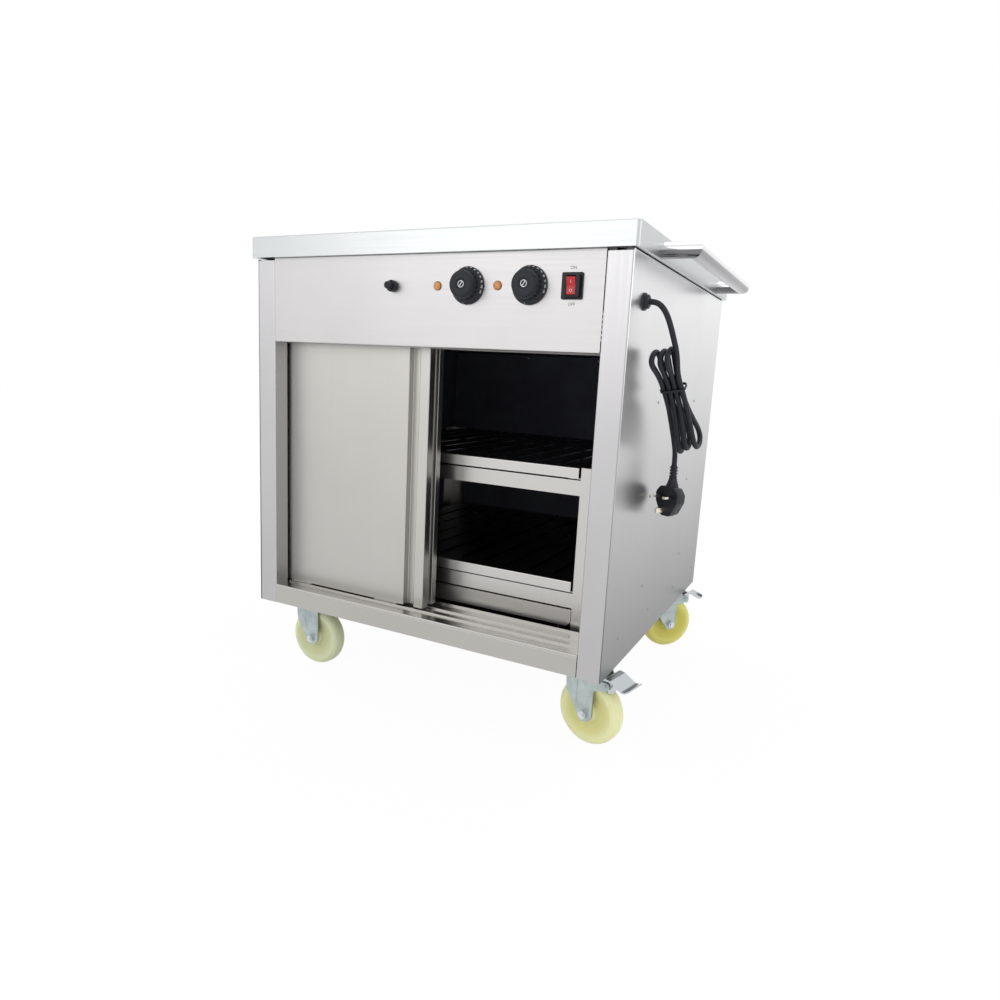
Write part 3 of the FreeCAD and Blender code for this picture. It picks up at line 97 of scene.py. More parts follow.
class Finish:
    """A material under construction: it adds nodes and links them by name."""

    def __init__(self, name):
        self.material = bpy.data.materials.new(name)
        self.material.use_nodes = True
        self.tree = self.material.node_tree
        self.shader = self.tree.nodes["Principled BSDF"]

    def add(self, kind, **settings):
        node = self.tree.nodes.new("ShaderNode" + kind)
        for key, value in settings.items():
            if hasattr(node, key):
                setattr(node, key, value)
            else:
                node.inputs[key.replace("_", " ")].default_value = value
        return node

    def set(self, socket, value):
        """A constant on one of the shader's own sockets."""
        self.shader.inputs[socket].default_value = value

    def link(self, source, target):
        self.tree.links.new(source, target)

    def grain(self, stretch, scale, detail=4.0):
        """Noise in object space. stretch squeezes each axis, so a small number draws it out."""
        place = self.add("TexCoord")
        mapping = self.add("Mapping")
        mapping.inputs["Scale"].default_value = stretch
        noise = self.add("TexNoise", Scale=scale, Detail=detail, Roughness=0.55)
        self.link(place.outputs["Object"], mapping.inputs["Vector"])
        self.link(mapping.outputs["Vector"], noise.inputs["Vector"])
        return noise.outputs["Fac"]

    def ramp(self, value, stops):
        ramp = self.add("ValToRGB")
        elements = ramp.color_ramp.elements
        while len(elements) < len(stops):
            elements.new(0.5)
        for element, (position, colour) in zip(elements, stops):
            element.position = position
            element.color = (*colour, 1.0)
        self.link(value, ramp.inputs["Fac"])
        return ramp.outputs["Color"]

    def map_range(self, value, start, end, low=0.0, high=1.0):
        """Map a value from start..end onto low..high."""
        span = self.add("MapRange")
        for socket, number in zip(("From Min", "From Max", "To Min", "To Max"), (start, end, low, high)):
            span.inputs[socket].default_value = number
        self.link(value, span.inputs["Value"])
        return span.outputs["Result"]

    def along(self, letter, space="Object"):
        """One coordinate of the shaded point, or of its normal."""
        place = self.add("TexCoord")
        split = self.add("SeparateXYZ")
        self.link(place.outputs[space], split.inputs["Vector"])
        return split.outputs[letter]

    def times(self, colour, number):
        """A colour made brighter or darker by a number."""
        scaled = self.add("VectorMath", operation="SCALE")
        self.link(colour, scaled.inputs["Vector"])
        self.link(number, scaled.inputs["Scale"])
        return scaled.outputs["Vector"]

    def radius(self, centre, axis):
        """Distance of a point from an axle, in object space."""
        place = self.add("TexCoord")
        arm = self.add("VectorMath", operation="SUBTRACT")
        arm.inputs[1].default_value = centre
        square = self.add("VectorMath", operation="CROSS_PRODUCT")
        square.inputs[1].default_value = axis
        reach = self.add("VectorMath", operation="LENGTH")
        self.link(place.outputs["Object"], arm.inputs[0])
        self.link(arm.outputs["Vector"], square.inputs[0])
        self.link(square.outputs["Vector"], reach.inputs[0])
        return reach.outputs["Value"]

    def colour(self, value, stops):
        self.link(self.ramp(value, stops), self.shader.inputs["Base Color"])

    def roughness(self, value, low, high):
        self.link(self.map_range(value, *NOISE_MIDDLE, low, high), self.shader.inputs["Roughness"])

    def bump(self, value, strength, distance):
        bump = self.add("Bump", Strength=strength, Distance=distance)
        self.link(value, bump.inputs["Height"])
        self.link(bump.outputs["Normal"], self.shader.inputs["Normal"])


def shade(colour, factor):
    return tuple(min(1.0, channel * factor) for channel in colour)


print("finish helper ready")

# %% [markdown]
# Brushed stainless steel is a mirror with thousands of fine scratches, all one way. The scratches
# are much longer than they are wide, so the noise is squeezed along the grain. A second, broad
# noise stands for handling marks and the slight waviness of thin sheet. Steel also mirrors what
# stands before it, which is less bright near the floor, so painted shade darkens its colour downwards.

# %% Brushed stainless steel
GRAIN_STRETCH = {"x": (2.0, 260.0, 260.0), "z": (260.0, 260.0, 2.0)}
SCRATCH_SCALE = 2.2
PAINTED_SHADE_FROM_EDGE = 1.0 * MM              # how quickly a shelf's front edge gives way to the painted shade on its top
BODY_TOP, BODY_FOOT = body_point(0, 0, 640).z, body_point(0, 0, 0).z


def brushed_steel(name, colour, grain, low, high, waves=0.35, painted_shade_at_foot=1.0, relief=0.10):
    """Steel of a colour at the top of the body, with painted shade that darkens it to a given share of that
    colour at its lower edge.
    """
    finish = Finish(name)
    scratches = finish.grain(GRAIN_STRETCH[grain], SCRATCH_SCALE, detail=3.0)
    clouds = finish.grain(EVEN, 5.0, detail=5.0)
    stops = [(0.30, shade(colour, 0.965)), (0.55, colour), (0.75, shade(colour, 1.02))]
    tones = finish.ramp(clouds, stops)
    # Painted shade: the colour darkens towards the bottom of the body, for the dimmer floor that the steel
    # mirrors.
    painted_shade_fade = finish.map_range(finish.along("Z"), BODY_FOOT, BODY_TOP, painted_shade_at_foot, 1.0)
    finish.link(finish.times(tones, painted_shade_fade), finish.shader.inputs["Base Color"])
    finish.roughness(scratches, low, high)
    mixed = finish.add("Math", operation="MULTIPLY_ADD")
    mixed.inputs[1].default_value = waves
    finish.link(clouds, mixed.inputs[0])
    finish.link(scratches, mixed.inputs[2])
    finish.bump(mixed.outputs["Value"], relief, 0.0004)
    finish.set("Metallic", 1.0)
    return finish.material


def shelf_finish(name, colour, dark, front_y):
    """A bright folded front edge, and a top whose colour is painted shade, much darker than the edge."""
    finish = Finish(name)
    painted_shade_mask = finish.map_range(finish.along("Y"), front_y, front_y + PAINTED_SHADE_FROM_EDGE)
    scratches = finish.grain(GRAIN_STRETCH["x"], SCRATCH_SCALE, detail=3.0)
    # Painted shade: a little way in from the bright edge, the colour turns to the dark shade colour.
    finish.colour(painted_shade_mask, [(0.0, colour), (1.0, dark)])
    finish.roughness(scratches, 0.30, 0.42)
    finish.bump(scratches, 0.04, 0.0003)
    finish.set("Metallic", 1.0)
    return finish.material


SHELF_FRONT_Y, COVER_FRONT_Y = 106.0, 113.0
# Painted shade for the tops of the shelves and of the heater cover.
SHELF_TOP_PAINTED_SHADE = (0.060, 0.060, 0.066)
# The post, door and side steels get painted shade that darkens their colour towards the floor, the side
# panels most.
post_steel = brushed_steel("post_steel", (0.61, 0.60, 0.61), "z", 0.30, 0.40, painted_shade_at_foot=0.80, relief=0.06)
rail_steel = brushed_steel("rail_steel", (0.47, 0.46, 0.43), "x", 0.26, 0.38, relief=0.06)
panel_steel = brushed_steel("panel_steel", (0.60, 0.59, 0.59), "x", 0.36, 0.46, relief=0.04)
door_steel = brushed_steel("door_steel", (0.59, 0.58, 0.55), "z", 0.34, 0.46, painted_shade_at_foot=0.86, relief=0.05)
side_steel = brushed_steel("side_steel", (0.90, 0.90, 0.91), "z", 0.29, 0.34, waves=1.6, painted_shade_at_foot=0.20,
                           relief=0.02)
leg_steel = brushed_steel("leg_steel", (0.58, 0.57, 0.55), "z", 0.28, 0.34, relief=0.01)
track_steel = brushed_steel("track_steel", (0.52, 0.51, 0.49), "x", 0.18, 0.32)
worktop_steel = brushed_steel("worktop_steel", (0.62, 0.64, 0.64), "x", 0.28, 0.38, relief=0.04)
inner_steel = brushed_steel("inner_steel", (0.34, 0.33, 0.32), "x", 0.34, 0.50)
shelf_steel = shelf_finish("shelf_steel", (0.60, 0.59, 0.57), SHELF_TOP_PAINTED_SHADE, body_point(0, SHELF_FRONT_Y + 2, 0).y)
cover_steel = shelf_finish("cover_steel", (0.52, 0.51, 0.49), SHELF_TOP_PAINTED_SHADE, body_point(0, COVER_FRONT_Y + 2, 0).y)
print("brushed steels:", len([m for m in bpy.data.materials if m.name.endswith("_steel")]))

# %% [markdown]
# The cupboard is lined with dark matt sheet, which takes nearly all the light that falls in. The
# steel of the heaters has gone dark from heat, with a brown and blue cast in patches.

# %% Dark lining and heaters


def dark_liner():
    finish = Finish("dark_liner")
    specks = finish.grain(EVEN, 420.0)
    clouds = finish.grain(EVEN, 9.0)
    finish.colour(clouds, [(0.35, (0.110, 0.113, 0.145)), (0.70, (0.150, 0.154, 0.190))])
    finish.roughness(specks, 0.62, 0.80)
    finish.bump(specks, 0.10, 0.0002)
    finish.set("Specular IOR Level", 0.25)
    return finish.material


def burnt_sheath():
    finish = Finish("burnt_sheath")
    patches = finish.grain(EVEN, 30.0)
    stops = [(0.3, (0.05, 0.05, 0.06)), (0.5, (0.12, 0.10, 0.09)), (0.7, (0.20, 0.15, 0.10))]
    finish.colour(patches, stops)
    finish.roughness(patches, 0.40, 0.62)
    finish.bump(patches, 0.05, 0.0003)
    finish.set("Metallic", 0.8)
    return finish.material


lining = dark_liner()
sheath = burnt_sheath()
print("lining and heater finishes made")

# %% [markdown]
# Zinc plate on the castor forks is bluish, with a fine crystalline bloom. A cell pattern gives the
# bloom its edges. The pedals, bolts and the push handle are polished instead, and differ in how
# rough they are; the push handle also has a painted reflection, dark below and bright on top.

# %% Plated and polished metal


def zinc_plate():
    finish = Finish("zinc_plate")
    place = finish.add("TexCoord")
    cells = finish.add("TexVoronoi", Scale=520.0)
    finish.link(place.outputs["Object"], cells.inputs["Vector"])
    clouds = finish.grain(EVEN, 40.0)
    stops = [(0.30, (0.36, 0.41, 0.41)), (0.55, (0.45, 0.51, 0.50)), (0.75, (0.55, 0.61, 0.60))]
    finish.colour(clouds, stops)
    finish.roughness(cells.outputs["Distance"], 0.26, 0.40)
    finish.bump(clouds, 0.05, 0.0003)
    finish.set("Metallic", 1.0)
    return finish.material


def polished_metal(name, colour, low, high):
    finish = Finish(name)
    haze = finish.grain(EVEN, 25.0)
    finish.colour(haze, [(0.30, shade(colour, 0.95)), (0.70, colour)])
    finish.roughness(haze, low, high)
    finish.bump(haze, 0.02, 0.0003)
    finish.set("Metallic", 1.0)
    return finish.material


def polished_tube(name, upper, under):
    """Polish on a level tube, with a painted reflection: its underside is painted in shade, as it only ever
    mirrors what is below it, and its top is painted bright.
    """
    finish = Finish(name)
    # Painted reflection: the colour is dark on the underside and bright on top, set by which way the
    # surface faces.
    facing = finish.map_range(finish.along("Z", "Normal"), -1.0, 1.0)
    stops = [(0.0, shade(under, 1.8)), (0.22, under), (0.42, under), (0.52, upper), (1.0, upper)]
    finish.colour(facing, stops)
    finish.roughness(finish.grain(EVEN, 25.0), 0.10, 0.18)
    finish.set("Metallic", 1.0)
    return finish.material


zinc = zinc_plate()
handle_polish_painted_reflection = polished_tube("handle_polish_painted_reflection", (0.80, 0.80, 0.81), (0.20, 0.20, 0.21))
pedal_plate = polished_metal("pedal_plate", (0.56, 0.59, 0.61), 0.14, 0.24)
bolt_plate = polished_metal("bolt_plate", (0.66, 0.69, 0.72), 0.20, 0.32)
pin_brass = polished_metal("pin_brass", (0.86, 0.80, 0.66), 0.14, 0.26)
rivet_steel = polished_metal("rivet_steel", (0.42, 0.42, 0.43), 0.30, 0.45)
print("plated metals made")

# %% [markdown]
# The wheels are cast nylon, waxy and slightly see-through, so light goes a little way into them:
# that is subsurface scattering. Each is painted darker and deeper yellow in the dish between its hub
# and its rim, as shade in that hollow. That ring is a matter of distance from the axle, so it
# stays put when the wheel rolls. The other plastics are moulded and opaque.

# %% Plastics
WHEEL_R = 57.0 * MM


def wheel_nylon(name, centre, axis, rim, dish_painted_shade):
    finish = Finish(name)
    fine = finish.grain(EVEN, 300.0)
    share = finish.add("Math", operation="DIVIDE")
    share.inputs[1].default_value = WHEEL_R
    finish.link(finish.radius(centre, axis), share.inputs[0])
    # Painted shade: the dish between hub and rim is coloured darker and deeper yellow than the rim.
    rings = [(0.20, rim), (0.34, shade(dish_painted_shade, 0.9)), (0.62, dish_painted_shade), (0.80, rim), (1.0, shade(rim, 1.03))]
    finish.colour(share.outputs["Value"], rings)
    finish.roughness(fine, 0.36, 0.50)
    finish.bump(fine, 0.06, 0.0002)
    finish.set("Subsurface Weight", 0.25)
    finish.set("Subsurface Radius", (0.006, 0.005, 0.002))
    finish.set("Subsurface Scale", 1.0)
    return finish.material


def moulded_plastic(name, colour, low, high, texture=260.0, bump=0.08, shine=0.5):
    """Plastic with the fine orange-peel texture of its mould."""
    finish = Finish(name)
    peel = finish.grain(EVEN, texture)
    dust = finish.grain(EVEN, 14.0)
    finish.colour(dust, [(0.30, shade(colour, 0.85)), (0.70, shade(colour, 1.15))])
    finish.roughness(peel, low, high)
    finish.bump(peel, bump, 0.0002)
    finish.set("Specular IOR Level", shine)
    return finish.material


def amber_lens():
    """A ribbed indicator lens, brighter where it is thin. It isn't lit."""
    finish = Finish("amber_lens")
    facets = finish.grain(EVEN, 420.0)
    finish.colour(facets, [(0.30, (0.42, 0.15, 0.03)), (0.60, (0.62, 0.27, 0.08))])
    finish.roughness(facets, 0.12, 0.24)
    finish.bump(facets, 0.20, 0.0003)
    finish.set("Coat Weight", 0.6)
    return finish.material


glide_nylon = moulded_plastic("glide_nylon", (0.80, 0.80, 0.76), 0.45, 0.60)
knob_black = moulded_plastic("knob_black", (0.011, 0.012, 0.018), 0.32, 0.46, texture=500.0, shine=0.28)
switch_black = moulded_plastic("switch_black", (0.010, 0.011, 0.016), 0.28, 0.42, shine=0.30)
rocker_red = moulded_plastic("rocker_red", (0.50, 0.010, 0.012), 0.14, 0.24, bump=0.03)
housing_brown = moulded_plastic("housing_brown", (0.06, 0.05, 0.045), 0.50, 0.65)
ceramic = moulded_plastic("ceramic_white", (0.82, 0.79, 0.72), 0.30, 0.45)
cord_sheath = moulded_plastic("cord_sheath_black", (0.012, 0.013, 0.018), 0.40, 0.56, texture=700.0,
                              bump=0.12, shine=0.32)
plug_black = moulded_plastic("plug_black", (0.013, 0.014, 0.019), 0.34, 0.50, shine=0.34)
print_white = moulded_plastic("print_white", (0.82, 0.83, 0.84), 0.55, 0.70)
print_grey = moulded_plastic("print_grey", (0.12, 0.12, 0.13), 0.60, 0.75)
amber = amber_lens()
print("plastics made")

# %% [markdown]
# Every CAD node keeps its shape and gets the finish that the real piece has. A table by name is
# the clearest way to say so, and the four castors share one rule.

# %% Finishes of the CAD nodes
node_finish = {
    "worktop": worktop_steel, "front_posts": post_steel, "rear_posts": post_steel,
    "front_rail": rail_steel, "rear_rail": rail_steel, "bottom_track": track_steel,
    "top_track": track_steel, "base_pan": inner_steel, "control_panel": panel_steel,
    "side_panel_left": side_steel, "side_panel_right": side_steel, "rear_panel": door_steel,
    "liner_back": lining, "liner_sides": lining, "liner_ceiling": lining,
    "shelf_rack": leg_steel, "upper_shelf": shelf_steel, "lower_shelf": shelf_steel,
    "heater_cover": cover_steel, "bottom_element": sheath, "top_element": sheath,
    "thermostat_top": housing_brown, "thermostat_bottom": housing_brown,
    "knob_top": knob_black, "knob_bottom": knob_black, "reset_cutout": knob_black,
    "reset_button": knob_black, "neon_lamps": amber, "switch_body": switch_black,
    "rocker": rocker_red, "terminal_block": ceramic, "push_handle": handle_polish_painted_reflection,
    "handle_bolts": bolt_plate, "front_door": door_steel, "rear_door": door_steel,
    "front_door_glides": glide_nylon, "rear_door_glides": glide_nylon, "castor_plates": zinc,
    "castor_bolts": bolt_plate, "cord_gland": plug_black, "cord_tie": plug_black,
    "plug_body": plug_black, "plug_pins": pin_brass,
}
CASTORS = {                # angle of the fork at rest, colour of the rim, colour of the dish with its painted shade
    "front_left": (0.0, (0.66, 0.70, 0.46), (0.60, 0.62, 0.35)),
    "front_right": (-12.0, (0.78, 0.78, 0.44), (0.71, 0.69, 0.29)),
    "rear_left": (20.0, (0.74, 0.74, 0.42), (0.68, 0.66, 0.27)),
    "rear_right": (42.0, (0.74, 0.70, 0.20), (0.66, 0.60, 0.11)),
}
for corner, (degrees, rim, dish_painted_shade) in CASTORS.items():
    node_finish["castor_fork_" + corner] = zinc
    node_finish["castor_axle_" + corner] = bolt_plate
    wheel = nodes["castor_wheel_" + corner]
    axle_middle = sum((Vector(point) for point in wheel.bound_box), Vector()) / 8
    axle_way = Matrix.Rotation(math.radians(degrees), 3, "Z") @ ALONG_Y
    node_finish["castor_wheel_" + corner] = wheel_nylon("nylon_" + corner, axle_middle, axle_way, rim, dish_painted_shade)
for corner in ("front_right", "rear_right"):
    node_finish["brake_pedal_" + corner] = pedal_plate
for name, material in node_finish.items():
    mesh = nodes[name].data
    mesh.materials.clear()
    mesh.materials.append(material)
print("finished nodes:", len(node_finish), "of", len(nodes))

# %% [markdown]
# The mains cord is one length of flexible cable, from its gland to its plug. Most of it is folded
# into a hank of three loops, which a tie draws in at the waist. In Blender it is one NURBS curve
# with a round bevel: its control points are the free stretches' route, and for the hank a formula
# for a point that goes round three times, down one side of the waist and up the other.

# %% Where the hank lies
WAIST = Vector((739.9, 124.3, 451.2))
HANK_ALONG = Vector((35.0, 99.0, -151.0)).normalized()
HANK_OUT = (ALONG_X - HANK_ALONG * HANK_ALONG.x).normalized()
HANK_ACROSS = HANK_OUT.cross(HANK_ALONG)
WAIST_HALF = 4.4
LAYER = 9.3
# Ends of the loops: down the hank from the tie, across it, out from the body, fullness.
LOWER_ENDS = ((115.5, 6.5, 13.0, 53.0), (106.5, -10.0, 1.5, 47.0), (110.5, -12.5, -9.5, 47.0))
UPPER_ENDS = ((-67.5, -6.5, 12.0, 45.0), (-65.5, -6.5, 0.5, 45.0), (-69.5, -14.0, -10.5, 45.0))
STEPS_A_QUARTER = 5


def hank_point(along, across, out):
    place = WAIST + HANK_ALONG * along + HANK_ACROSS * across + HANK_OUT * out
    return body_point(*place)


def half_loop(end, side, out_start, out_finish):
    """Points from the waist on one side, round an end of the hank, to the waist on the other."""
    length, shift, out_end, fullness = end
    points = []
    for step in range(2 * STEPS_A_QUARTER):
        angle = 0.5 * math.pi * step / STEPS_A_QUARTER
        reach = math.sin(angle)
        width = WAIST_HALF + fullness * reach ** 3
        across = -side * width * math.cos(angle) + shift * reach ** 2
        base = out_start if angle < math.pi / 2 else out_finish
        out = base + (out_end - base) * reach ** 2
        points.append(hank_point(length * reach, across, out))
    return points


hank_route = []
for loop, (lower, upper) in enumerate(zip(LOWER_ENDS, UPPER_ENDS)):
    layers = [(1.5 - loop - quarter) * LAYER for quarter in (0.0, 0.5, 1.0)]
    hank_route += half_loop(lower, 1.0, layers[0], layers[1])
    hank_route += half_loop(upper, -1.0, layers[1], layers[2])
hank_route.append(hank_point(0.0, -WAIST_HALF, -1.5 * LAYER))
print("hank control points:", len(hank_route))

# %% The route of the free stretches
CORD_D = 8.5
LEAD_POINTS = [
    (709.0, 62.0, 573.5), (716.5, 62.0, 573.5), (725.5, 62.6, 569.0), (733.0, 64.5, 559.5),
    (739.0, 69.0, 545.0), (744.0, 76.5, 526.0), (749.0, 89.0, 502.0),
]
TAIL_POINTS = [(728.5, 159.5, 414.0), (730.5, 179.0, 387.0), (733.5, 192.5, 361.0), (735.5, 199.0, 341.5)]
RELIEF_TOP = (735.5, 199.0, 323.5)

cord_route = [body_point(*point) for point in LEAD_POINTS]
cord_route.append(hank_point(-26.0, -WAIST_HALF, 1.5 * LAYER))
cord_route += hank_route
cord_route.append(hank_point(20.0, -WAIST_HALF, -1.5 * LAYER))
cord_route += [body_point(*point) for point in TAIL_POINTS + [RELIEF_TOP]]

curve = bpy.data.curves.new("mains_cord", "CURVE")
curve.dimensions = "3D"
curve.bevel_depth = CORD_D / 2 * MM
curve.bevel_resolution = 5
curve.use_fill_caps = True
spline = curve.splines.new("NURBS")
spline.points.add(len(cord_route) - 1)
for point, place in zip(spline.points, cord_route):
    point.co = (*place, 1.0)
spline.order_u = 3
spline.use_endpoint_u = True
spline.resolution_u = 6
spline.use_smooth = True
mains_cord = bpy.data.objects.new("mains_cord", curve)
mains_cord.data.materials.append(cord_sheath)
bpy.context.scene.collection.objects.link(mains_cord)


def centreline_length(obj):
    """Length of a curve's own line, read from a copy with no bevel."""
    bare = obj.copy()
    bare.data = obj.data.copy()
    bare.data.bevel_depth = 0.0
    bpy.context.scene.collection.objects.link(bare)
    bpy.context.view_layer.update()
    graph = bpy.context.evaluated_depsgraph_get()
    mesh = bpy.data.meshes.new_from_object(bare.evaluated_get(graph))
    length = sum((mesh.vertices[e.vertices[0]].co - mesh.vertices[e.vertices[1]].co).length
                 for e in mesh.edges)
    bpy.data.objects.remove(bare)
    bpy.data.meshes.remove(mesh)
    return length


cord_length = centreline_length(mains_cord)
print("cord length %.3f m" % cord_length)

# %% The cord rides on the body and stands for its CAD solids
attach(mains_cord, "frame")
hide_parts("cord_lead", "cord_hank", "cord_tail")

# %% [markdown]
# Small pieces that repeat, such as rivets, are turned shapes. A helper spins a short profile about
# an axis and adds the result to one mesh, so a whole set of rivets is one light object. It also
# makes the flat rings and discs that are printed on the dials.

# %% Helpers for turned and printed pieces


def frame_about(axis):
    """Two directions square to an axis."""
    side = ALONG_Z.cross(axis) if abs(axis.z) < 0.9 else ALONG_X.copy()
    side.normalize()
    return side, axis.cross(side)


def turn_profile(mesh, profile, centre, axis, steps=24):
    """Add a turned shape: profile pairs are (along the axis, radius) in metres."""
    side, other = frame_about(axis)
    rings = []
    for along, radius in profile:
        if radius == 0.0:
            rings.append([mesh.verts.new(centre + axis * along)])
            continue
        ring = []
        for step in range(steps):
            angle = 2 * math.pi * step / steps
            spoke = side * math.cos(angle) + other * math.sin(angle)
            ring.append(mesh.verts.new(centre + axis * along + spoke * radius))
        rings.append(ring)
    for lower, upper in zip(rings, rings[1:]):
        for step in range(steps):
            following = (step + 1) % steps
            corners = [lower[step % len(lower)], lower[following % len(lower)],
                       upper[following % len(upper)], upper[step % len(upper)]]
            face = list(dict.fromkeys(corners))
            if len(face) > 2:
                mesh.faces.new(face)


def flat_quad(mesh, centre, run, across):
    """Add one four-sided face: half its length along run, and half its width along across."""
    corners = [centre + run * a + across * b for a, b in ((-1, -1), (1, -1), (1, 1), (-1, 1))]
    mesh.faces.new([mesh.verts.new(corner) for corner in corners])


def place_piece(name, mesh, material, body, smooth=True):
    """Turn a bmesh into a piece that rides on a body."""
    bmesh.ops.recalc_face_normals(mesh, faces=mesh.faces)
    data = bpy.data.meshes.new(name)
    mesh.to_mesh(data)
    mesh.free()
    data.materials.append(material)
    if smooth:
        data.shade_smooth()
    piece = bpy.data.objects.new(name, data)
    bpy.context.scene.collection.objects.link(piece)
    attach(piece, body)
    return piece


def printed_text(words, size, place, right, up, name, material, body):
    """Letters as a thin raised print, centred on a place, facing right x up."""
    curve_data = bpy.data.curves.new(name, "FONT")
    curve_data.body = words
    curve_data.size = size
    curve_data.align_x = "CENTER"
    curve_data.align_y = "CENTER"
    curve_data.extrude = 0.00004
    curve_data.resolution_u = 3
    holder = bpy.data.objects.new(name + "_curve", curve_data)
    bpy.context.scene.collection.objects.link(holder)
    graph = bpy.context.evaluated_depsgraph_get()
    letters = bpy.data.meshes.new_from_object(holder.evaluated_get(graph))
    bpy.data.objects.remove(holder)
    basis = Matrix((right, up, right.cross(up))).transposed().to_4x4()
    letters.transform(Matrix.Translation(place) @ basis)
    mesh = bmesh.new()
    mesh.from_mesh(letters)
    bpy.data.meshes.remove(letters)
    return place_piece(name, mesh, material, body, smooth=False)


print("helpers for small pieces ready")

# %% [markdown]
# The side panels are held by blind rivets. Each has a low dome with a small hole in the middle,
# where its mandrel broke off. They are set where the shelf rack, the base pan and the liner meet
# the panel, and the left panel has the same set.

# %% Rivets of the side panels
RIVET_PLACES = [
    (197, 425), (197, 266), (200, 106), (473, 424), (477, 265), (479, 106), (263, 260),
    (80, 48), (259, 46), (446, 42), (629, 41),
]
RIVET_PROFILE = [(0.0, 0.0024), (0.0005, 0.0024), (0.0010, 0.0019), (0.0012, 0.0011), (0.0004, 0.0009),
                 (0.0004, 0.0)]


def rivet_set(name, x, outward):
    mesh = bmesh.new()
    for y, z in RIVET_PLACES:
        turn_profile(mesh, RIVET_PROFILE, body_point(x, y, z), outward, steps=16)
    return place_piece(name, mesh, rivet_steel, "frame")


rivet_set("rivets_right", 700.0, ALONG_X)
rivet_set("rivets_left", 0.0, -ALONG_X)
print("rivets per side:", len(RIVET_PLACES))

# %% Screws of the rear panel and of the lining
SCREW_PROFILE = [(0.0, 0.0040), (0.0008, 0.0039), (0.0019, 0.0030), (0.0022, 0.0018), (0.0014, 0.0014),
                 (0.0014, 0.0)]
REAR_SCREWS = [(x, z) for x in (20, 185, 350, 515, 680) for z in (16, 625)]
REAR_SCREWS += [(x, z) for x in (20, 680) for z in (170, 325, 480)]
LINER_SCREWS = [(x, 497) for x in (62, 259, 441, 638)]
CEILING_SCREWS = [(x, 331) for x in (207, 493)]
BACK_Y, LINER_Y, CEILING_Z = 660.0, 623.8, 503.0

rear = bmesh.new()
for x, z in REAR_SCREWS:
    turn_profile(rear, SCREW_PROFILE, body_point(x, BACK_Y, z), ALONG_Y, steps=16)
place_piece("rear_screws", rear, bolt_plate, "frame")
inside = bmesh.new()
for x, z in LINER_SCREWS:
    turn_profile(inside, SCREW_PROFILE, body_point(x, LINER_Y, z), -ALONG_Y, steps=16)
for x, y in CEILING_SCREWS:
    turn_profile(inside, SCREW_PROFILE, body_point(x, y, CEILING_Z), -ALONG_Z, steps=16)
place_piece("liner_screws", inside, bolt_plate, "frame")
print("screws:", len(REAR_SCREWS) + len(LINER_SCREWS) + len(CEILING_SCREWS))

# %% [markdown]
# A dial knob has its numbers on the bevelled skirt, printed white, and a ring with a bar across it
# on the end of its cap. The bevel slopes, so each number is turned about the knob's axis and then
# leant back to lie on the slope.

# %% Printing on the knobs
CONTROLS_Z = 590.0
KNOBS = {"knob_top": 438.3, "knob_bottom": 543.8}
BEVEL_MIDDLE = (26.6, 4.75)       # radius, and distance in front of the panel
BEVEL_RUN = Vector((-3.5, 4.4))   # inward and forward, along the slope
PRINT_LIFT = 0.06
NUMBER_STEP = 16.0
NUMBER_SIZE = 0.0036
NUMBER_ANGLES = [(str(number), 92.0 - NUMBER_STEP * i) for i, number in enumerate(range(40, 120, 10))]
MARK_ANGLES = (-100.0, 150.0)
MARK = (1.4, 0.28)                # half length and half width
RING_RADII = (4.3, 5.2)
RING_LIFT = 0.0001
BAR_LEAN = math.radians(35)
BAR_HALF_WIDTH = 0.00055
CAP_FACE = 22.4


def place_on_skirt(x, degrees):
    """A place on the slope, the way up the slope to the cap, and the way out of it."""
    angle = math.radians(degrees)
    spoke = Vector((math.cos(angle), 0.0, math.sin(angle)))
    slope = BEVEL_RUN.normalized()
    inward = spoke * slope.x - ALONG_Y * slope.y
    outward = spoke * slope.y + ALONG_Y * slope.x
    radius, front = BEVEL_MIDDLE
    centre = body_point(x, -front, CONTROLS_Z) + (spoke * radius + outward * PRINT_LIFT) * MM
    return centre, inward, outward


def number_on_skirt(knob, x, words, degrees):
    centre, inward, outward = place_on_skirt(x, degrees)
    right = (-inward).cross(outward)
    name = "%s_number_%s" % (knob, words)
    printed_text(words, NUMBER_SIZE, centre, right, -inward, name, print_white, knob)


def ring_on_cap(knob, x):
    mesh = bmesh.new()
    inner, outer = (radius * MM for radius in RING_RADII)
    front = body_point(x, -CAP_FACE - 0.02, CONTROLS_Z)
    profile = [(0.0, inner), (RING_LIFT, inner), (RING_LIFT, outer), (0.0, outer)]
    turn_profile(mesh, profile, front, -ALONG_Y, steps=40)
    lean = Vector((math.sin(BAR_LEAN), 0.0, math.cos(BAR_LEAN)))
    across = lean.cross(ALONG_Y)
    flat_quad(mesh, front - ALONG_Y * RING_LIFT, lean * inner * 1.05, across * BAR_HALF_WIDTH)
    place_piece(knob + "_ring", mesh, print_white, knob, smooth=False)


def marks_on_skirt(knob, x):
    """A short line at each end of the scale's empty stretch, on the slope."""
    mesh = bmesh.new()
    for degrees in MARK_ANGLES:
        centre, inward, outward = place_on_skirt(x, degrees)
        flat_quad(mesh, centre, inward * MARK[0] * MM, inward.cross(outward) * MARK[1] * MM)
    place_piece(knob + "_marks", mesh, print_white, knob, smooth=False)


for knob, x in KNOBS.items():
    ring_on_cap(knob, x)
    marks_on_skirt(knob, x)
    for words, degrees in NUMBER_ANGLES:
        number_on_skirt(knob, x, words, degrees)
print("numbers on each dial:", len(NUMBER_ANGLES))

# %% [markdown]
# The main switch is marked I and O on its red rocker, and ON and OFF above and below it on the
# panel. The two marks sit on the rocker's own faces, which slope away from the middle.

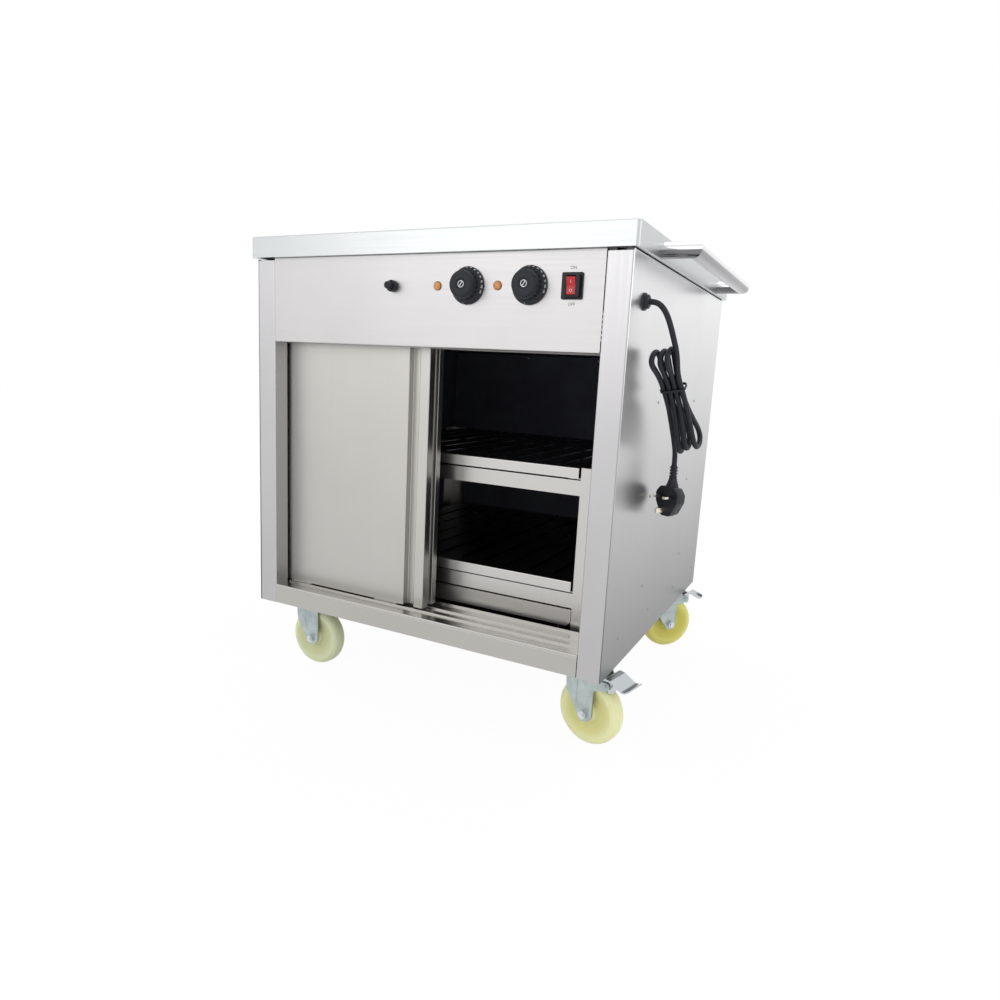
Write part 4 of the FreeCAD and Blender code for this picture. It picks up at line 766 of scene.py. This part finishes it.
# %% Marks of the switch
SWITCH_X, SWITCH_Z = 611.4, 588.6
ROCKER_TILT = 7.0
PIVOT_Y = -3.2
FACE_RISE, FACE_HALF = 1.8, 12.7  # each half of the rocker's front rises this much over this height
FACE_MIDDLE = -6.8
MARK_LIFT = 0.08
WORD_LIFT = 0.06
MARK_SIZE, WORD_SIZE = 0.0058, 0.0064
WORDS = (("panel_word_on", 25.5, "ON"), ("panel_word_off", -25.5, "OFF"))
MARKS = {"rocker_mark_on": (5.9, "I"), "rocker_mark_off": (-6.6, "O")}


def on_rocker(height):
    """A place on the rocker's front and the way up the face there."""
    slope = math.atan2(FACE_RISE, FACE_HALF) * (1 if height > 0 else -1)
    local_y = FACE_MIDDLE - abs(height) * FACE_RISE / FACE_HALF - MARK_LIFT
    tilt = Matrix.Rotation(math.radians(ROCKER_TILT), 3, "X")
    place = tilt @ Vector((0.0, local_y - PIVOT_Y, height))
    up = tilt @ Vector((0.0, -math.sin(slope), math.cos(slope)))
    return body_point(SWITCH_X, PIVOT_Y + place.y, SWITCH_Z + place.z), up


for name, (height, words) in MARKS.items():
    place, up = on_rocker(height)
    printed_text(words, MARK_SIZE, place, ALONG_X, up, name, print_white, "rocker")
for name, height, words in WORDS:
    place = body_point(SWITCH_X, -WORD_LIFT, SWITCH_Z + height)
    printed_text(words, WORD_SIZE, place, ALONG_X, ALONG_Z, name, print_grey, "frame")
print("switch marks placed")

# %% [markdown]
# The lamps have a bezel round the lens, coloured darker amber as painted shade at the lens's edge, and
# two of the plug's pins have insulating sleeves next to its body. Both are thin turned or wrapped shells
# over the CAD piece.

# %% Lamp bezels
LAMPS_X = (383.3, 489.9)
BEZEL_PROFILE = [(0.0, 0.0071), (0.0011, 0.0071), (0.0018, 0.0066), (0.0018, 0.0057), (0.0, 0.0057)]
bezels = bmesh.new()
for x in LAMPS_X:
    turn_profile(bezels, BEZEL_PROFILE, body_point(x, 0.0, CONTROLS_Z), -ALONG_Y, steps=32)
# Painted shade: the bezel is coloured a darker amber for the shade round the lens's edge.
bezel_painted_shade = moulded_plastic("bezel_painted_shade", (0.30, 0.10, 0.03), 0.25, 0.38)
place_piece("lamp_bezels", bezels, bezel_painted_shade, "frame")
print("lamp bezels:", len(LAMPS_X))

# %% Sleeves on the plug's pins
PLUG_AT = Vector((735.5, 199.0, 287.5))
PLUG_FACING = Vector((-0.5, -0.8660254, 0.0))
PLUG_SIDE = ALONG_Z.cross(PLUG_FACING)
PIN_WIDTH, PIN_HEIGHT, SLEEVE = 6.3, 4.0, 9.0
PIN_SIDE, PIN_ROOT, PIN_DROP = 11.1, 11.5, 16.8   # a sleeved pin's place, from the plug's middle
SLEEVE_RINGS = ((0.0, 0.12), (SLEEVE, 0.12), (SLEEVE, -0.1))   # distance out, and room round the pin

sleeves = bmesh.new()
for side in (-PIN_SIDE, PIN_SIDE):
    root = PLUG_AT + PLUG_SIDE * side + PLUG_FACING * PIN_ROOT - ALONG_Z * PIN_DROP
    loops = []
    for along, grow in SLEEVE_RINGS:
        half_w, half_h = PIN_WIDTH / 2 + grow, PIN_HEIGHT / 2 + grow
        corners = [(-half_w, -half_h), (half_w, -half_h), (half_w, half_h), (-half_w, half_h)]
        places = [root + PLUG_FACING * along + PLUG_SIDE * a + ALONG_Z * b for a, b in corners]
        loops.append([sleeves.verts.new(body_point(*place)) for place in places])
    for lower, upper in zip(loops, loops[1:]):
        for i in range(4):
            sleeves.faces.new((lower[i], lower[(i + 1) % 4], upper[(i + 1) % 4], upper[i]))
place_piece("pin_sleeves", sleeves, plug_black, "frame", smooth=False)
print("pin sleeves placed")

# %% [markdown]
# The studio is plain white. The floor and the world are white to the camera and to every mirror
# or glass ray, so that steel shows a white studio, while the light that falls on the trolley from
# them is softer, brighter from above than from below. The floor keeps a part of its own shading,
# which is where the trolley's shadow shows.

# %% Floor
FLOOR_WHITE = 0.96                # share of the floor that is plain white to the camera
FLOOR_HALF = 30.0


def seen_share(tree, most):
    """Node output: most for camera, glossy and transmission rays, and 0 for all others."""
    rays = tree.nodes.new("ShaderNodeLightPath")
    seen = rays.outputs["Is Camera Ray"]
    for kind in ("Is Glossy Ray", "Is Transmission Ray"):
        either = tree.nodes.new("ShaderNodeMath")
        either.operation = "MAXIMUM"
        tree.links.new(seen, either.inputs[0])
        tree.links.new(rays.outputs[kind], either.inputs[1])
        seen = either.outputs["Value"]
    share = tree.nodes.new("ShaderNodeMath")
    share.operation = "MULTIPLY"
    share.inputs[1].default_value = most
    tree.links.new(seen, share.inputs[0])
    return share.outputs["Value"]


def floor_finish():
    finish = Finish("studio_floor")
    clouds = finish.grain(EVEN, 2.0)
    finish.colour(clouds, [(0.30, (0.90, 0.90, 0.90)), (0.70, (0.94, 0.94, 0.94))])
    finish.set("Roughness", 0.9)
    finish.set("Specular IOR Level", 0.1)
    glow = finish.add("Emission", Strength=1.0)
    glow.inputs["Color"].default_value = (1.0, 1.0, 1.0, 1.0)
    blend = finish.add("MixShader")
    finish.link(seen_share(finish.tree, FLOOR_WHITE), blend.inputs["Fac"])
    finish.link(finish.shader.outputs["BSDF"], blend.inputs[1])
    finish.link(glow.outputs["Emission"], blend.inputs[2])
    output = finish.tree.nodes["Material Output"]
    finish.link(blend.outputs["Shader"], output.inputs["Surface"])
    return finish.material


ground = bmesh.new()
flat_quad(ground, Vector(), ALONG_X * FLOOR_HALF, ALONG_Y * FLOOR_HALF)
floor_data = bpy.data.meshes.new("studio_floor")
ground.to_mesh(floor_data)
ground.free()
floor_data.materials.append(floor_finish())
floor = bpy.data.objects.new("studio_floor", floor_data)
bpy.context.scene.collection.objects.link(floor)
print("floor made")

# %% World
WORLD_TONES = ((0.30, 0.62), (0.80, 1.00))     # position from straight down to straight up, tone
world = bpy.data.worlds.new("studio")
bpy.context.scene.world = world
world.use_nodes = True
tree = world.node_tree
backdrop = tree.nodes["Background"]
place = tree.nodes.new("ShaderNodeTexCoord")
split = tree.nodes.new("ShaderNodeSeparateXYZ")
heights = tree.nodes.new("ShaderNodeValToRGB")
for element, (position, tone) in zip(heights.color_ramp.elements, WORLD_TONES):
    element.position = position
    element.color = (tone, tone, tone * 1.01, 1.0)
lift = tree.nodes.new("ShaderNodeMapRange")
lift.inputs["From Min"].default_value = -1.0
white = tree.nodes.new("ShaderNodeBackground")
white.inputs["Color"].default_value = (1.0, 1.0, 1.0, 1.0)
choose = tree.nodes.new("ShaderNodeMixShader")
tree.links.new(place.outputs["Generated"], split.inputs["Vector"])
tree.links.new(split.outputs["Z"], lift.inputs["Value"])
tree.links.new(lift.outputs["Result"], heights.inputs["Fac"])
tree.links.new(heights.outputs["Color"], backdrop.inputs["Color"])
tree.links.new(seen_share(tree, 1.0), choose.inputs["Fac"])
tree.links.new(backdrop.outputs["Background"], choose.inputs[1])
tree.links.new(white.outputs["Background"], choose.inputs[2])
tree.links.new(choose.outputs["Shader"], tree.nodes["World Output"].inputs["Surface"])
print("world made")

# %% [markdown]
# Three large soft lamps stand for the studio's light boxes: in front, at the handle's end and
# overhead. Large lamps give steel broad, soft streaks, and the view transform stays Standard.

# %% Lamps


def soft_lamp(name, place, target, size, watts):
    data = bpy.data.lights.new(name, "AREA")
    data.shape = "RECTANGLE"
    data.size, data.size_y = size
    data.energy = watts
    lamp = bpy.data.objects.new(name, data)
    lamp.location = place
    lamp.rotation_mode = "QUATERNION"
    lamp.rotation_quaternion = (Vector(target) - Vector(place)).to_track_quat("-Z", "Y")
    bpy.context.scene.collection.objects.link(lamp)


soft_lamp("front_box", (-1.2, -3.2, 1.7), (0.0, 0.0, 0.4), (2.4, 2.0), 14.0)
soft_lamp("side_box", (3.4, -0.4, 1.8), (0.2, 0.0, 0.4), (2.2, 1.8), 9.0)
soft_lamp("top_box", (0.2, 0.0, 3.2), (0.0, 0.0, 0.6), (2.6, 2.6), 12.0)
bpy.context.scene.view_settings.view_transform = "Standard"
